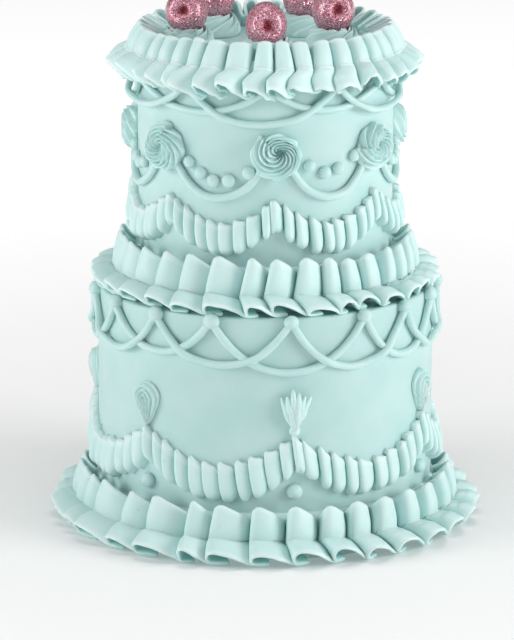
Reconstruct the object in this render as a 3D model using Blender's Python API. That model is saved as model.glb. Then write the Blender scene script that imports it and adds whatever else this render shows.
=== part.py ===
"""Two-tier buttercream cake, piped in the vintage style, with glittered cherries on top.

Metres, +Z up, and the front faces -Y. The origin is the middle of the underside, on the surface
that the cake stands on. Azimuths are in degrees from the front, and grow towards +X.
"""

import math
import random
from dataclasses import dataclass

import bmesh
import bpy
from mathutils import Vector

# The tiers: 8 inch and 6 inch sponges with their icing, each a little over 6 inches tall.
LOWER_RADIUS = 0.1115
LOWER_HEIGHT = 0.1585
UPPER_RADIUS = 0.0843
UPPER_HEIGHT = 0.1580
TOP = LOWER_HEIGHT + UPPER_HEIGHT
TIER_SIDES = 48
RIM_BEVEL = 0.0025

# A piece stands this far off the surface behind it. A back with few facets needs more.
GAP = 0.0005
CURVED_GAP = 0.0009
FACETED_GAP = 0.0012

# The swags repeat seven times round both tiers, as evenly as a hand sets them out.
LOWER_ANCHORS = (-42.8, 9.5, 64.3, 114.0, 163.7, 213.3, 263.0)
UPPER_ANCHORS = (-45.0, 3.9, 55.0, 107.0, 159.0, 211.0, 263.0)
ROSETTES = (-47.6, 4.8, 53.6, 105.0, 157.0, 209.0, 260.6)

# Ruffled garlands: length of a pleat, and heights of the middle line at an anchor and at a low.
GARLAND_PLEATS = 11
GARLAND_DEPTH = 0.0085
LOWER_GARLAND = {"length": 0.0225, "anchor": 0.0675, "low": 0.0485}
UPPER_GARLAND = {"length": 0.0205, "anchor": 0.2200, "low": 0.2033}

# Drop strings of the lower tier hang from pearls, and each passes one pearl by.
LOWER_HANGS = (
    *(-80.0, -59.0, -38.5, -17.8, 8.3, 34.0, 52.7, 72.0),
    *(92.0, 115.5, 139.0, 162.5, 186.0, 209.5, 233.0, 256.5),
)
LOWER_HANG_HEIGHT = 0.1562
LOWER_STRING_LOW = 0.1250
LOWER_STRING_THICK = 0.0050
HANG_PEARL = 0.0054
HANG_PEARL_DEPTH = 0.0080

# Drop strings of the upper tier come out from under the top ruffle.
UPPER_HANGS = (-96.0, -66.0, -35.0, 1.3, 31.0, 57.0, 88.0, 118.0, 148.0, 178.0, 208.0, 236.0)
UPPER_HANG_HEIGHT = 0.3010
UPPER_STRING_LOW = 0.2795
UPPER_STRING_THICK = 0.0045
UPPER_HANG_OUT = 0.0035

# Rosettes on the side of the upper tier, with a string and a chain of pearls between each two.
SIDE_ROSETTE_RADIUS = 0.0165
SIDE_ROSETTE_DEPTH = 0.0105
SIDE_ROSETTE_HEIGHT = 0.2600
ROSETTE_STRING_LOW = 0.2300
ROSETTE_STRING_TOP = 0.2560
ROSETTE_STRING_THICK = 0.0052
CHAIN_PEARLS = (5, 4)
CHAIN_PEARL = 0.0040
CHAIN_HALF_ANGLE = 12.0
CHAIN_LOW = 0.2425
CHAIN_RISE = 0.0090

# Fluted shells stand on the anchors of the lower garland, and a pearl lies under each anchor.
SHELL_WIDTH = 0.0205
SHELL_LENGTH = 0.0275
SHELL_DEPTH = 0.0095
SHELL_FOOT = 0.0815
ANCHOR_PEARL = 0.0050
ANCHOR_PEARL_HEIGHT = 0.0425

# Five rosettes on the top, and a cherry on each.
CHERRIES = 5
CHERRY_RING = 0.0500
CHERRY_FIRST = 2.0
CHERRY_RADIUS = 0.0131
CHERRY_HALF_HEIGHT = 0.0143
CHERRY_HEIGHT = 0.3400
TOP_ROSETTE_RADIUS = 0.0180
TOP_ROSETTE_DEPTH = 0.0120

# Catenary steepness of a hanging string: 0 is a parabola. Each string starts this many degrees
# before its hang, and this much further out than it ends, over the end of an earlier one.
DROOP = 2.0
STRING_TUCK = 0.7
STRING_LEAN = 0.0008


@dataclass(frozen=True)
class Ruffle:
    """A pleated ribbon round a tier: a standing wing and a flaring wing that meet in a crease.

    Points are (radius, height). The seat is the inner outline, from under the flaring wing to
    behind the standing wing. The swing is how far a pleat's crest stands out from the middle of
    its wave, and the slant how much higher its crest is than that middle.
    """

    pleats: int
    seed: int
    first: float
    upper_tip: tuple
    crease: tuple
    lower_tip: tuple
    seat: tuple
    swing: float
    crease_swing: float
    slant: float
    floor: float = None
    under: float = 0.003


BASE_RUFFLE = Ruffle(
    pleats=31,
    seed=4,
    first=-3.0,
    upper_tip=(0.1168, 0.0312),
    crease=(0.1225, 0.0125),
    lower_tip=(0.1410, 0.0060),
    seat=((LOWER_RADIUS + FACETED_GAP, 0.0), (LOWER_RADIUS + FACETED_GAP, 0.0250)),
    swing=0.0040,
    crease_swing=0.0026,
    slant=0.0030,
    floor=0.0,
)
MIDDLE_RUFFLE = Ruffle(
    pleats=32,
    seed=9,
    first=-2.0,
    upper_tip=(0.0908, 0.1868),
    crease=(0.0965, 0.1705),
    lower_tip=(0.1125, 0.1656),
    seat=(
        (UPPER_RADIUS + FACETED_GAP, LOWER_HEIGHT + GAP),
        (UPPER_RADIUS + FACETED_GAP, 0.1810),
    ),
    swing=0.0036,
    crease_swing=0.0024,
    slant=0.0024,
    floor=LOWER_HEIGHT + GAP,
)
TOP_RUFFLE = Ruffle(
    pleats=34,
    seed=14,
    first=-1.0,
    upper_tip=(0.0758, 0.3300),
    crease=(0.0878, 0.3190),
    lower_tip=(0.1000, 0.3055),
    seat=(
        (UPPER_RADIUS + FACETED_GAP, 0.3100),
        (UPPER_RADIUS + FACETED_GAP, TOP + GAP),
        (0.0715, TOP + GAP),
    ),
    swing=0.0036,
    crease_swing=0.0016,
    slant=0.0015,
)

# Stations along one pleat, as a share of its width, and how far out each stands, from 1 to -1.
PLEAT_STATIONS = ((0.0, 1.0), (0.45, 0.35), (0.88, -1.0))
GARLAND_STATIONS = ((0.0, 1.0), (0.58, 0.45))


def clear_scene():
    for obj in list(bpy.data.objects):
        bpy.data.objects.remove(obj)


def finish(name, colour, roughness):
    """A Principled material of this colour and roughness."""
    material = bpy.data.materials.new(name)
    material.use_nodes = True
    shader = material.node_tree.nodes["Principled BSDF"]
    shader.inputs["Base Color"].default_value = (*colour, 1.0)
    shader.inputs["Roughness"].default_value = roughness
    return material


def polar(radius, azimuth, height):
    """The point this far from the axis, at this azimuth in degrees and this height."""
    turn = math.radians(azimuth)
    return Vector((radius * math.sin(turn), -radius * math.cos(turn), height))


def on_wall(wall, azimuth, height):
    """A function that wraps a flat drawing (across, up, out) round a wall of that radius."""
    face = wall + CURVED_GAP
    return lambda across, up, out: polar(
        face + out, azimuth + math.degrees(across / wall), height + up
    )


def on_top(azimuth):
    """A function that lays a flat drawing (across, up, out) on the cake's top, in the ring."""
    middle = polar(CHERRY_RING, azimuth, TOP + GAP)
    return lambda across, up, out: middle + Vector((across, up, out))


def add_object(name, mesh, material):
    mesh.materials.append(material)
    mesh.shade_smooth()
    mesh.set_sharp_from_angle(angle=math.radians(50))
    obj = bpy.data.objects.new(name, mesh)
    bpy.context.scene.collection.objects.link(obj)
    return obj


def mesh_of(bm, name):
    """Ends a bmesh, with its faces turned outwards."""
    bm.normal_update()
    bmesh.ops.recalc_face_normals(bm, faces=bm.faces)
    mesh = bpy.data.meshes.new(name)
    bm.to_mesh(mesh)
    bm.free()
    return mesh


def bridge(bm, first, second):
    """Quads between two closed rings of vertices."""
    count = len(first)
    for i in range(count):
        j = (i + 1) % count
        bm.faces.new((first[i], first[j], second[j], second[i]))


def narrow(bm, fine, coarse):
    """Triangles from a closed ring of vertices to one with a fraction of them."""
    share = len(fine) // len(coarse)
    for i, inner in enumerate(coarse):
        onward = coarse[(i + 1) % len(coarse)]
        for j in range(share):
            first = fine[i * share + j]
            second = fine[(i * share + j + 1) % len(fine)]
            bm.faces.new((first, second, inner if j < share - 1 else onward))
        bm.faces.new((fine[(i + 1) * share - 1], onward, inner))


def fan(bm, centre, ring):
    for i, vertex in enumerate(ring):
        bm.faces.new((centre, vertex, ring[(i + 1) % len(ring)]))


def fuse(base, pieces):
    """Joins the pieces to the base with one Boolean union, and removes them."""
    group = bpy.data.collections.new("pieces")
    bpy.context.scene.collection.children.link(group)
    for piece in pieces:
        bpy.context.scene.collection.objects.unlink(piece)
        group.objects.link(piece)
    union = base.modifiers.new("union", "BOOLEAN")
    union.operation = "UNION"
    union.operand_type = "COLLECTION"
    union.collection = group
    union.solver = "MANIFOLD"
    graph = bpy.context.evaluated_depsgraph_get()
    joined = bpy.data.meshes.new_from_object(base.evaluated_get(graph))
    base.modifiers.remove(union)
    base.data = joined
    for piece in pieces:
        bpy.data.objects.remove(piece)
    bpy.data.collections.remove(group)


def pearl(name, place, radius, near, far, material):
    """A small ball of icing, pressed flat so that it reaches out from near to far."""
    bm = bmesh.new()
    bmesh.ops.create_icosphere(bm, subdivisions=1, radius=1.0)
    for vertex in bm.verts:
        across, up, out = vertex.co
        vertex.co = place(radius * across, radius * up, near + (far - near) * (out + 1) / 2)
    return add_object(name, mesh_of(bm, name), material)


def piped_line(name, points, thickness, material):
    """A round string of icing through these points, as a mesh with closed ends."""
    curve = bpy.data.curves.new(name, "CURVE")
    curve.dimensions = "3D"
    curve.bevel_depth = thickness / 2
    curve.bevel_resolution = 0
    curve.use_fill_caps = True
    spline = curve.splines.new("POLY")
    spline.points.add(len(points) - 1)
    for slot, point in zip(spline.points, points):
        slot.co = (*point, 1.0)
    guide = bpy.data.objects.new(name, curve)
    bpy.context.scene.collection.objects.link(guide)
    graph = bpy.context.evaluated_depsgraph_get()
    tube = bpy.data.meshes.new_from_object(guide.evaluated_get(graph))
    bpy.data.objects.remove(guide)
    bm = bmesh.new()
    bm.from_mesh(tube)
    bmesh.ops.remove_doubles(bm, verts=bm.verts, dist=1e-6)
    bpy.data.meshes.remove(tube)
    return add_object(name, mesh_of(bm, name), material)


def droop(share):
    """Height of a hanging string as a share of its sag: 0 at its low, 1 at its ends, -1 and 1."""
    return (math.cosh(DROOP * share) - 1) / (math.cosh(DROOP) - 1)


def build_tier(name, radius, base, height, material):
    """An iced cylinder whose top rim is a little rounded."""
    bm = bmesh.new()
    bmesh.ops.create_cone(
        bm,
        cap_ends=True,
        segments=TIER_SIDES,
        radius1=radius,
        radius2=radius,
        depth=height,
    )
    bmesh.ops.translate(bm, verts=bm.verts, vec=(0, 0, base + height / 2))
    top = base + height
    rim = [e for e in bm.edges if all(abs(v.co.z - top) < 1e-6 for v in e.verts)]
    bmesh.ops.bevel(bm, geom=rim, offset=RIM_BEVEL, segments=1, affect="EDGES")
    return add_object(name, mesh_of(bm, name), material)


def pleat_rhythm(count, seed):
    """Place, depth and reach of each pleat, as uneven as a hand pipes them."""
    rng = random.Random(seed)
    return [
        (i + rng.uniform(-0.14, 0.14), rng.uniform(0.8, 1.15), rng.uniform(-1, 1))
        for i in range(count)
    ]


def ring_of(bm, points):
    return [bm.verts.new(point) for point in points]


def wing_point(ruffle, tip, share, out, reach):
    """A point of a wing, this share of the way from the crease to the tip.

    The wave moves it square to the wing by the swing, and along the height by the slant.
    """
    along = Vector(tip) - Vector(ruffle.crease)
    normal = Vector((abs(along.y), abs(along.x))).normalized()
    swing = ruffle.crease_swing + (ruffle.swing - ruffle.crease_swing) * share
    point = Vector(ruffle.crease) + along * (share * reach)
    point += normal * (swing * out)
    point.y += ruffle.slant * out * (1 if tip == ruffle.upper_tip else 0.4) * share
    return point


def ruffle_front(ruffle, out, reach):
    """The front of a ruffle, as (radius, height) downwards, where its wave stands this far out."""
    upper = [wing_point(ruffle, ruffle.upper_tip, s, out, reach) for s in (1.0, 0.55)]
    lower = [wing_point(ruffle, ruffle.lower_tip, s, out, reach) for s in (0.55, 1.0)]
    crease = Vector(ruffle.crease) + Vector((0.7, 0.7)) * (ruffle.crease_swing * out)
    tip = lower[-1]
    if ruffle.floor is None:
        under = tip - Vector((0.7, 0.7)) * ruffle.under
    else:
        under = Vector((tip.x - ruffle.under, ruffle.floor))
    return [*upper, crease, *lower, under]


def build_ruffle(name, ruffle, material):
    """A closed ring of pleats, each a leaning fold: out at its crest, in at its trough."""
    rhythm = pleat_rhythm(ruffle.pleats, ruffle.seed)
    fronts = []
    for i, (start, depth, reach) in enumerate(rhythm):
        end = rhythm[(i + 1) % len(rhythm)][0] + (len(rhythm) if i + 1 == len(rhythm) else 0)
        for share, out in PLEAT_STATIONS:
            turn = (start + (end - start) * share) * 360 / ruffle.pleats + ruffle.first
            fronts.append((turn, ruffle_front(ruffle, out * depth, 1 + 0.05 * reach)))
    bm = bmesh.new()
    rows = range(len(fronts[0][1]))
    front = [
        ring_of(bm, (polar(points[row].x, turn, points[row].y) for turn, points in fronts))
        for row in rows
    ]
    step = 360 / ruffle.pleats
    seat = [
        ring_of(bm, (polar(radius, i * step + ruffle.first, height) for i in range(ruffle.pleats)))
        for radius, height in ruffle.seat
    ]
    for above, below in zip(front, front[1:]):
        bridge(bm, above, below)
    narrow(bm, front[-1], seat[0])
    for below, above in zip(seat, seat[1:]):
        bridge(bm, below, above)
    narrow(bm, front[0], seat[-1])
    return add_object(name, mesh_of(bm, name), material)


def onward(azimuths, place):
    """The azimuth at this place in a list that goes on round the cake."""
    return azimuths[place % len(azimuths)] + 360 * (place // len(azimuths))


def between(azimuths, place):
    """The azimuth at a place that may lie between two of a list that goes round the cake."""
    before = math.floor(place)
    start, end = onward(azimuths, before), onward(azimuths, before + 1)
    return start + (end - start) * (place - before)


def build_garland(name, wall, anchors, sizes, material):
    """A ring of swags of short upright pleats, hung from the anchors."""
    half = sizes["length"] / 2
    inner = wall + CURVED_GAP
    rise = sizes["anchor"] - sizes["low"]
    rows = [[], [], [], []]
    for i in range(len(anchors) * GARLAND_PLEATS):
        for share, depth in GARLAND_STATIONS:
            swag = (i + share) / GARLAND_PLEATS
            middle = sizes["low"] + rise * (2 * (swag % 1) - 1) ** 2
            turn = between(anchors, swag)
            out = inner + GARLAND_DEPTH * depth
            reach = half * (0.85 + 0.15 * depth)
            rows[1].append(polar(out, turn, middle + reach * 0.55))
            rows[2].append(polar(out, turn, middle - reach * 0.62))
            if share == 0:
                rows[0].append(polar(inner, turn, middle + reach))
                rows[3].append(polar(inner, turn, middle - reach))
    bm = bmesh.new()
    top, upper, lower, bottom = (ring_of(bm, row) for row in rows)
    narrow(bm, upper, top)
    bridge(bm, upper, lower)
    narrow(bm, lower, bottom)
    bridge(bm, bottom, top)
    return add_object(name, mesh_of(bm, name), material)


def string_points(wall, ends, heights, outs, steps):
    """Points of a string that hangs on a wall between two azimuths.

    The heights are of its ends and its low, and the outs are how far off the wall it is there.
    """
    middle, half = sum(ends) / 2, (ends[1] - ends[0]) / 2
    points = []
    for step in range(steps + 1):
        share = 2 * step / steps - 1
        up = droop(share)
        height = heights[1] + (heights[0] - heights[1]) * up
        out = outs[1] + (outs[0] - outs[1]) * up + STRING_LEAN * (1 - share) / 2
        points.append(polar(wall + out, middle + half * share, height))
    return points


def build_lower_strings(material):
    """Two rows of drop strings that cross each other, and the pearls that they hang from."""
    off = LOWER_STRING_THICK / 2 + GAP
    pieces = []
    for i, start in enumerate(LOWER_HANGS):
        over = LOWER_STRING_THICK * 0.3 * (i % 2)
        points = string_points(
            LOWER_RADIUS,
            (start - STRING_TUCK, onward(LOWER_HANGS, i + 2)),
            (LOWER_HANG_HEIGHT, LOWER_STRING_LOW),
            (off + 0.001, off + over),
            steps=5,
        )
        pieces.append(piped_line(f"string_{i}", points, LOWER_STRING_THICK, material))
        place = on_wall(LOWER_RADIUS, start, LOWER_HANG_HEIGHT)
        pieces.append(pearl(f"hang_{i}", place, HANG_PEARL, 0, HANG_PEARL_DEPTH, material))
    net = pieces.pop(0)
    net.name = "lower_strings"
    fuse(net, pieces)


def build_upper_strings(material):
    """Two rows of drop strings from under the top ruffle, the outer row hanging lower."""
    off = UPPER_STRING_THICK / 2 + GAP
    pieces = []
    for i, start in enumerate(UPPER_HANGS):
        outer = (i + 1) % 2
        low = UPPER_STRING_LOW + (0 if outer else 0.0070)
        points = string_points(
            UPPER_RADIUS,
            (start - STRING_TUCK, onward(UPPER_HANGS, i + 2)),
            (UPPER_HANG_HEIGHT, low),
            (off + UPPER_HANG_OUT, off + 0.0012 * outer),
            steps=6,
        )
        pieces.append(piped_line(f"string_{i}", points, UPPER_STRING_THICK, material))
    net = pieces.pop(0)
    net.name = "upper_strings"
    fuse(net, pieces)


def build_rosette_strings(material):
    """One string between each two side rosettes, ending just clear of them."""
    off = ROSETTE_STRING_THICK / 2 + GAP
    clear = math.degrees((SIDE_ROSETTE_RADIUS * 0.62) / UPPER_RADIUS)
    for i, start in enumerate(ROSETTES):
        points = string_points(
            UPPER_RADIUS,
            (start + clear, onward(ROSETTES, i + 1) - clear),
            (ROSETTE_STRING_TOP - SIDE_ROSETTE_RADIUS * 0.85, ROSETTE_STRING_LOW),
            (off, off),
            steps=6,
        )
        piped_line(f"rosette_string_{i + 1}", points, ROSETTE_STRING_THICK, material)


def build_rosette(name, place, radius, depth, arms, profile, material):
    """A swirl of icing: spiral ridges round a hollow, on a flat or wrapped back.

    The profile gives, from the middle out, each ring's radius share, height share and turn.
    """
    bm = bmesh.new()
    columns = 2 * arms
    rings = []
    for reach, rise, turn in profile:
        ring = []
        for column in range(columns):
            ridge = 1.0 if column % 2 == 0 else 0.9
            angle = 2 * math.pi * column / columns + math.radians(turn)
            far = radius * reach * ridge
            across, up = far * math.cos(angle), far * math.sin(angle)
            ring.append(bm.verts.new(place(across, up, depth * rise * ridge)))
        rings.append(ring)
    for inner, outer in zip(rings, rings[1:]):
        bridge(bm, inner, outer)
    fan(bm, bm.verts.new(place(0, 0, depth * 0.5)), rings[0])
    fan(bm, bm.verts.new(place(0, 0, 0)), rings[-1])
    return add_object(name, mesh_of(bm, name), material)


def build_shell(name, place, material):
    """A fluted shell: a narrow foot that widens and rises to a rounded, ridged head."""
    flutes = 5
    columns = 2 * flutes
    stations = ((0.0, 0.16, 0.25), (0.3, 0.5, 0.6), (0.62, 0.95, 1.0), (0.9, 0.85, 0.75))
    bm = bmesh.new()
    rings = []
    for along, wide, deep in stations:
        ring = []
        for column in range(columns + 1):
            angle = math.pi * column / columns
            ridge = 1.0 if column % 2 == 0 else 0.86
            across = -SHELL_WIDTH / 2 * wide * math.cos(angle) * ridge
            out = SHELL_DEPTH * deep * math.sin(angle) * ridge
            ring.append(bm.verts.new(place(across, SHELL_LENGTH * along, out)))
        rings.append(ring)
    for inner, outer in zip(rings, rings[1:]):
        bridge(bm, inner, outer)
    fan(bm, bm.verts.new(place(0, -0.001, 0.001)), rings[0])
    fan(bm, bm.verts.new(place(0, SHELL_LENGTH, 0.001)), rings[-1])
    return add_object(name, mesh_of(bm, name), material)


def build_cherry(name, azimuth, material):
    """A candied cherry, a little taller than wide and narrower below."""
    bm = bmesh.new()
    bmesh.ops.create_uvsphere(bm, u_segments=10, v_segments=7, radius=1.0)
    middle = polar(CHERRY_RING, azimuth, CHERRY_HEIGHT)
    for vertex in bm.verts:
        narrow = 1.0 + 0.06 * vertex.co.z
        vertex.co.x *= CHERRY_RADIUS * narrow
        vertex.co.y *= CHERRY_RADIUS * narrow
        vertex.co.z *= CHERRY_HALF_HEIGHT
        vertex.co += middle
    return add_object(name, mesh_of(bm, name), material)


def tier_pearl(name, wall, azimuth, height, radius, material):
    """A pearl that is pressed into the wall of its tier."""
    place = on_wall(wall, azimuth, height)
    return pearl(name, place, radius, -0.7 * radius, 1.2 * radius, material)


def build_lower_tier(material):
    """The lower tier, with a pearl fused on under each anchor of its garland."""
    tier = build_tier("lower_tier", LOWER_RADIUS, 0.0, LOWER_HEIGHT, material)
    pearls = [
        tier_pearl(
            f"anchor_pearl_{i}",
            LOWER_RADIUS,
            azimuth,
            ANCHOR_PEARL_HEIGHT,
            ANCHOR_PEARL,
            material,
        )
        for i, azimuth in enumerate(LOWER_ANCHORS)
    ]
    fuse(tier, pearls)


def build_upper_tier(material):
    """The upper tier, with the chains of pearls between its rosettes fused on."""
    tier = build_tier("upper_tier", UPPER_RADIUS, LOWER_HEIGHT + GAP, UPPER_HEIGHT - GAP, material)
    pearls = []
    for i in range(len(ROSETTES)):
        middle = between(ROSETTES, i + 0.5)
        count = CHAIN_PEARLS[i % len(CHAIN_PEARLS)]
        for j in range(count):
            share = 2 * j / (count - 1) - 1
            azimuth = middle + share * CHAIN_HALF_ANGLE
            height = CHAIN_LOW + CHAIN_RISE * share**2
            pearls.append(
                tier_pearl(f"pearl_{i}_{j}", UPPER_RADIUS, azimuth, height, CHAIN_PEARL, material)
            )
    fuse(tier, pearls)


def build_rosettes_and_shells(material):
    """The side rosettes, the shells of the lower tier and the rosettes of the top."""
    swirl = ((0.3, 0.9, 0), (0.62, 1.0, 55), (1.0, 0.0, 95))
    mound = ((0.24, 0.72, 0), (0.5, 1.0, 50), (0.84, 0.62, 90), (1.0, 0.0, 105))
    for i, azimuth in enumerate(ROSETTES):
        place = on_wall(UPPER_RADIUS, azimuth, SIDE_ROSETTE_HEIGHT)
        build_rosette(
            f"side_rosette_{i + 1}", place, SIDE_ROSETTE_RADIUS, SIDE_ROSETTE_DEPTH, 7, swirl, material
        )
    for i, azimuth in enumerate(LOWER_ANCHORS):
        build_shell(f"shell_{i + 1}", on_wall(LOWER_RADIUS, azimuth, SHELL_FOOT), material)
    for i in range(CHERRIES):
        place = on_top(CHERRY_FIRST + i * 360 / CHERRIES)
        build_rosette(
            f"top_rosette_{i + 1}", place, TOP_ROSETTE_RADIUS, TOP_ROSETTE_DEPTH, 8, mound, material
        )


def main():
    clear_scene()
    icing = finish("aqua_icing", (0.42, 0.72, 0.70), 0.45)
    glitter = finish("pink_glitter", (0.55, 0.16, 0.22), 0.35)
    build_lower_tier(icing)
    build_upper_tier(icing)
    build_ruffle("base_ruffle", BASE_RUFFLE, icing)
    build_ruffle("middle_ruffle", MIDDLE_RUFFLE, icing)
    build_ruffle("top_ruffle", TOP_RUFFLE, icing)
    build_garland("lower_garland", LOWER_RADIUS, LOWER_ANCHORS, LOWER_GARLAND, icing)
    build_garland("upper_garland", UPPER_RADIUS, UPPER_ANCHORS, UPPER_GARLAND, icing)
    build_lower_strings(icing)
    build_upper_strings(icing)
    build_rosette_strings(icing)
    build_rosettes_and_shells(icing)
    for i in range(CHERRIES):
        build_cherry(f"cherry_{i + 1}", CHERRY_FIRST + i * 360 / CHERRIES, glitter)


main()
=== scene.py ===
"""The looks of a tall two-tier buttercream cake, piped in the vintage style.

Sizes are in millimetres and become metres when a mesh is made. Azimuths are in degrees from the
front of the cake (-Y) and grow towards +X. A drawing (across, up, out) lies flat on what carries
it until a Bed wraps it there.
"""

import logging
from collections.abc import Iterable
from dataclasses import dataclass
from enum import Enum
from typing import Protocol

import bpy
import numpy as np
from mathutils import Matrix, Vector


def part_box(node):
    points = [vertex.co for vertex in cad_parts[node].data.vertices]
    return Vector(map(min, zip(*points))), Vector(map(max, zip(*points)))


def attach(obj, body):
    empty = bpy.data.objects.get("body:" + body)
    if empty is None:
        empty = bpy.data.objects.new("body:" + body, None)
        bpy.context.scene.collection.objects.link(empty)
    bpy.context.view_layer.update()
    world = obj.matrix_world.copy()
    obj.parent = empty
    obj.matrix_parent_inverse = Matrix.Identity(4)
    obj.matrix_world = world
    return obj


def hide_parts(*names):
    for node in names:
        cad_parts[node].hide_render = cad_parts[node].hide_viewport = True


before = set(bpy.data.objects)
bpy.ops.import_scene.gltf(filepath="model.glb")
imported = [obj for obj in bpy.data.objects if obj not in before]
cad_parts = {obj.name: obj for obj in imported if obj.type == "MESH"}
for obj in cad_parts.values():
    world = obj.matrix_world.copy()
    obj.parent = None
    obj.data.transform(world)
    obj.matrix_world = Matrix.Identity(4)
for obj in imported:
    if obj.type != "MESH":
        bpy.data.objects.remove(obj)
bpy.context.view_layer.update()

Array = np.ndarray

MM = 0.001
TURN = 2 * np.pi
LOG = logging.getLogger("cake")

# The tiers, as the frame has them. Their radii are of the iced walls, without the piping.
LOWER_WALL = 111.5
UPPER_WALL = 84.3
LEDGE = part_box("lower_tier")[1].z / MM
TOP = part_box("upper_tier")[1].z / MM

# Azimuths that the piping was set out from by hand, and so not quite evenly.
LOWER_ANCHORS = (-42.8, 9.5, 64.3, 114.0, 163.7, 213.3, 263.0)
UPPER_ANCHORS = (-45.0, 3.9, 55.0, 107.0, 159.0, 211.0, 263.0)
ROSETTES = (-47.6, 4.8, 53.6, 105.0, 157.0, 209.0, 260.6)
LOWER_HANGS = (
    *(-80.0, -59.0, -38.5, -17.8, 8.3, 34.0, 52.7, 72.0),
    *(92.0, 115.5, 139.0, 162.5, 186.0, 209.5, 233.0, 256.5),
)
UPPER_HANGS = (-96.0, -66.0, -35.0, 1.3, 31.0, 57.0, 88.0, 118.0, 148.0, 178.0, 208.0, 236.0)

# Azimuth and height of each pearl of the chains at the front.
CHAIN_FRONT = (
    *((-34.9, 252.5), (-29.1, 245.8), (-23.2, 241.8), (-16.0, 242.6), (-7.1, 247.7)),
    *((19.3, 251.8), (26.3, 246.8), (33.1, 248.3), (41.8, 255.2)),
)

# How far each cherry and its swirl were set from the even ring, right, back and up.
CHERRY_SHIFTS = (
    *((-1.3, -4.5, -2.0), (-3.5, 2.0, 0.8), (-2.3, 0.0, 0.5)),
    *((-3.8, 0.0, 0.5), (-4.6, 3.0, 0.8)),
)

# Radius and half height of the cherry at the front, and of the others.
FRONT_CHERRY = (13.3, 16.2)
OTHER_CHERRY = (13.9, 15.2)

# Heights on the walls, in millimetres.
ANCHOR_PEARL_HEIGHT = 43.0
HANG_PEARL_HEIGHT = 156.3
SIDE_ROSETTE_HEIGHT = 259.4

# The point that the lamps face, in metres.
CAKE_MIDDLE = (0.0, 0.0, 0.17)


# Helpers for whole arrays.


def smooth(share: Array) -> Array:
    """Eases a share from 0 to 1: 3s² - 2s³, held at its ends."""
    held = np.clip(share, 0, 1)
    return held * held * (3 - 2 * held)


def blend(start: Array | float, end: Array | float, share: Array | float) -> Array:
    """The value this share of the way from start to end."""
    return start + (end - start) * share


def bump(place: Array, middle: float, width: float) -> Array:
    """A bell of height 1: exp(-((place - middle) / width)²)."""
    return np.exp(-(((place - middle) / width) ** 2))


def ring_values(values: Array, share: Array) -> Array:
    """Values round a ring, each joined to the next by 3f² - 2f³.

    Args:
        values: The values, evenly spaced round the ring.
        share: Places round it, where a full turn is 1.

    Returns:
        A value for each place.
    """
    place = share * len(values)
    before = np.floor(place).astype(int)
    part = smooth(place - before)
    return blend(values[before % len(values)], values[(before + 1) % len(values)], part)


def ring_noise(rng: np.random.Generator, knots: int, share: Array) -> Array:
    """Random values from -1 to 1 that change smoothly round a ring, one for each knot."""
    return ring_values(rng.uniform(-1, 1, knots), share)


def patch_noise(
    rng: np.random.Generator, knots: tuple[int, int], share: Array, height: Array
) -> Array:
    """Random relief that closes on itself round a wall.

    The knots of a lattice have random values from -1 to 1, and 3f² - 2f³ joins them both ways.

    Args:
        rng: Where the random values come from.
        knots: How many values there are round the wall and up it.
        share: Places round the wall, where a full turn is 1.
        height: Places up the wall, from 0 to 1.

    Returns:
        A value for each place.
    """
    values = rng.uniform(-1, 1, (knots[0], knots[1] + 2))
    along, up = share * knots[0], height * knots[1]
    i, j = np.floor(along).astype(int), np.floor(up).astype(int)
    part, rise = smooth(along - i), smooth(up - j)
    low = blend(values[i % knots[0], j], values[(i + 1) % knots[0], j], part)
    high = blend(values[i % knots[0], j + 1], values[(i + 1) % knots[0], j + 1], part)
    return blend(low, high, rise)


def rounded(knots: Array, share: Array) -> Array:
    """A smooth closed path through knots at even steps.

    Between the knots b and c, with a before and d after them, the path is (2b + (c - a) f +
    (2a - 5b + 4c - d) f² + (3b - a - 3c + d) f³) / 2.

    Args:
        knots: The knots, one in each row.
        share: Places along the path, where the whole path is 1.

    Returns:
        A point for each place.
    """
    place = share * len(knots)
    step = np.floor(place).astype(int)
    f = (place - step)[..., None]
    a, b, c, d = (knots[(step + k) % len(knots)] for k in (-1, 0, 1, 2))
    bent = (2 * a - 5 * b + 4 * c - d) * f**2 + (3 * b - a - 3 * c + d) * f**3
    return (2 * b + (c - a) * f + bent) / 2


def polar(radius: Array, azimuth: Array, height: Array) -> Array:
    """Points from their distance to the cake's axis, their azimuth and their height."""
    turn = np.radians(azimuth)
    return np.stack(np.broadcast_arrays(radius * np.sin(turn), -radius * np.cos(turn), height), -1)


def between(azimuths: Iterable[float], place: Array) -> Array:
    """Azimuths at places in a list that goes round the cake, with fractions between them.

    Args:
        azimuths: The list, in order round the cake.
        place: Places in it, where 0 is its first entry.

    Returns:
        An azimuth for each place.
    """
    ring = list(azimuths)
    count = len(ring)
    steps = np.arange(-count, 2 * count + 1)
    values = np.array([ring[k % count] + 360 * (k // count) for k in steps])
    return np.interp(place, steps, values)


def all_round(front: tuple[float, ...], count: int) -> Array:
    """Azimuths for the whole cake: those piped at the front, then even steps round the back.

    Args:
        front: The azimuths at the front.
        count: How many there are in all.

    Returns:
        All the azimuths, in order.
    """
    spare = count - len(front) + 2
    back = np.linspace(front[-1], front[0] + 360, spare)[1:-1]
    return np.concatenate((front, back))


def straight_out(azimuth: Array) -> Array:
    """Level directions away from the cake's axis."""
    return polar(np.ones_like(azimuth), azimuth, np.zeros_like(azimuth))


def string_noise(rng: np.random.Generator, knots: int, share: Array) -> Array:
    """Random values from -1 to 1 along a string, whose share runs from -1 to 1."""
    return ring_noise(rng, knots, (share + 1) / 2.2)


def middle_of(node: str) -> Array:
    """The middle of a solid's box, in millimetres."""
    low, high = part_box(node)
    return np.array(low + high) / 2 / MM


# Closed surfaces.


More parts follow.
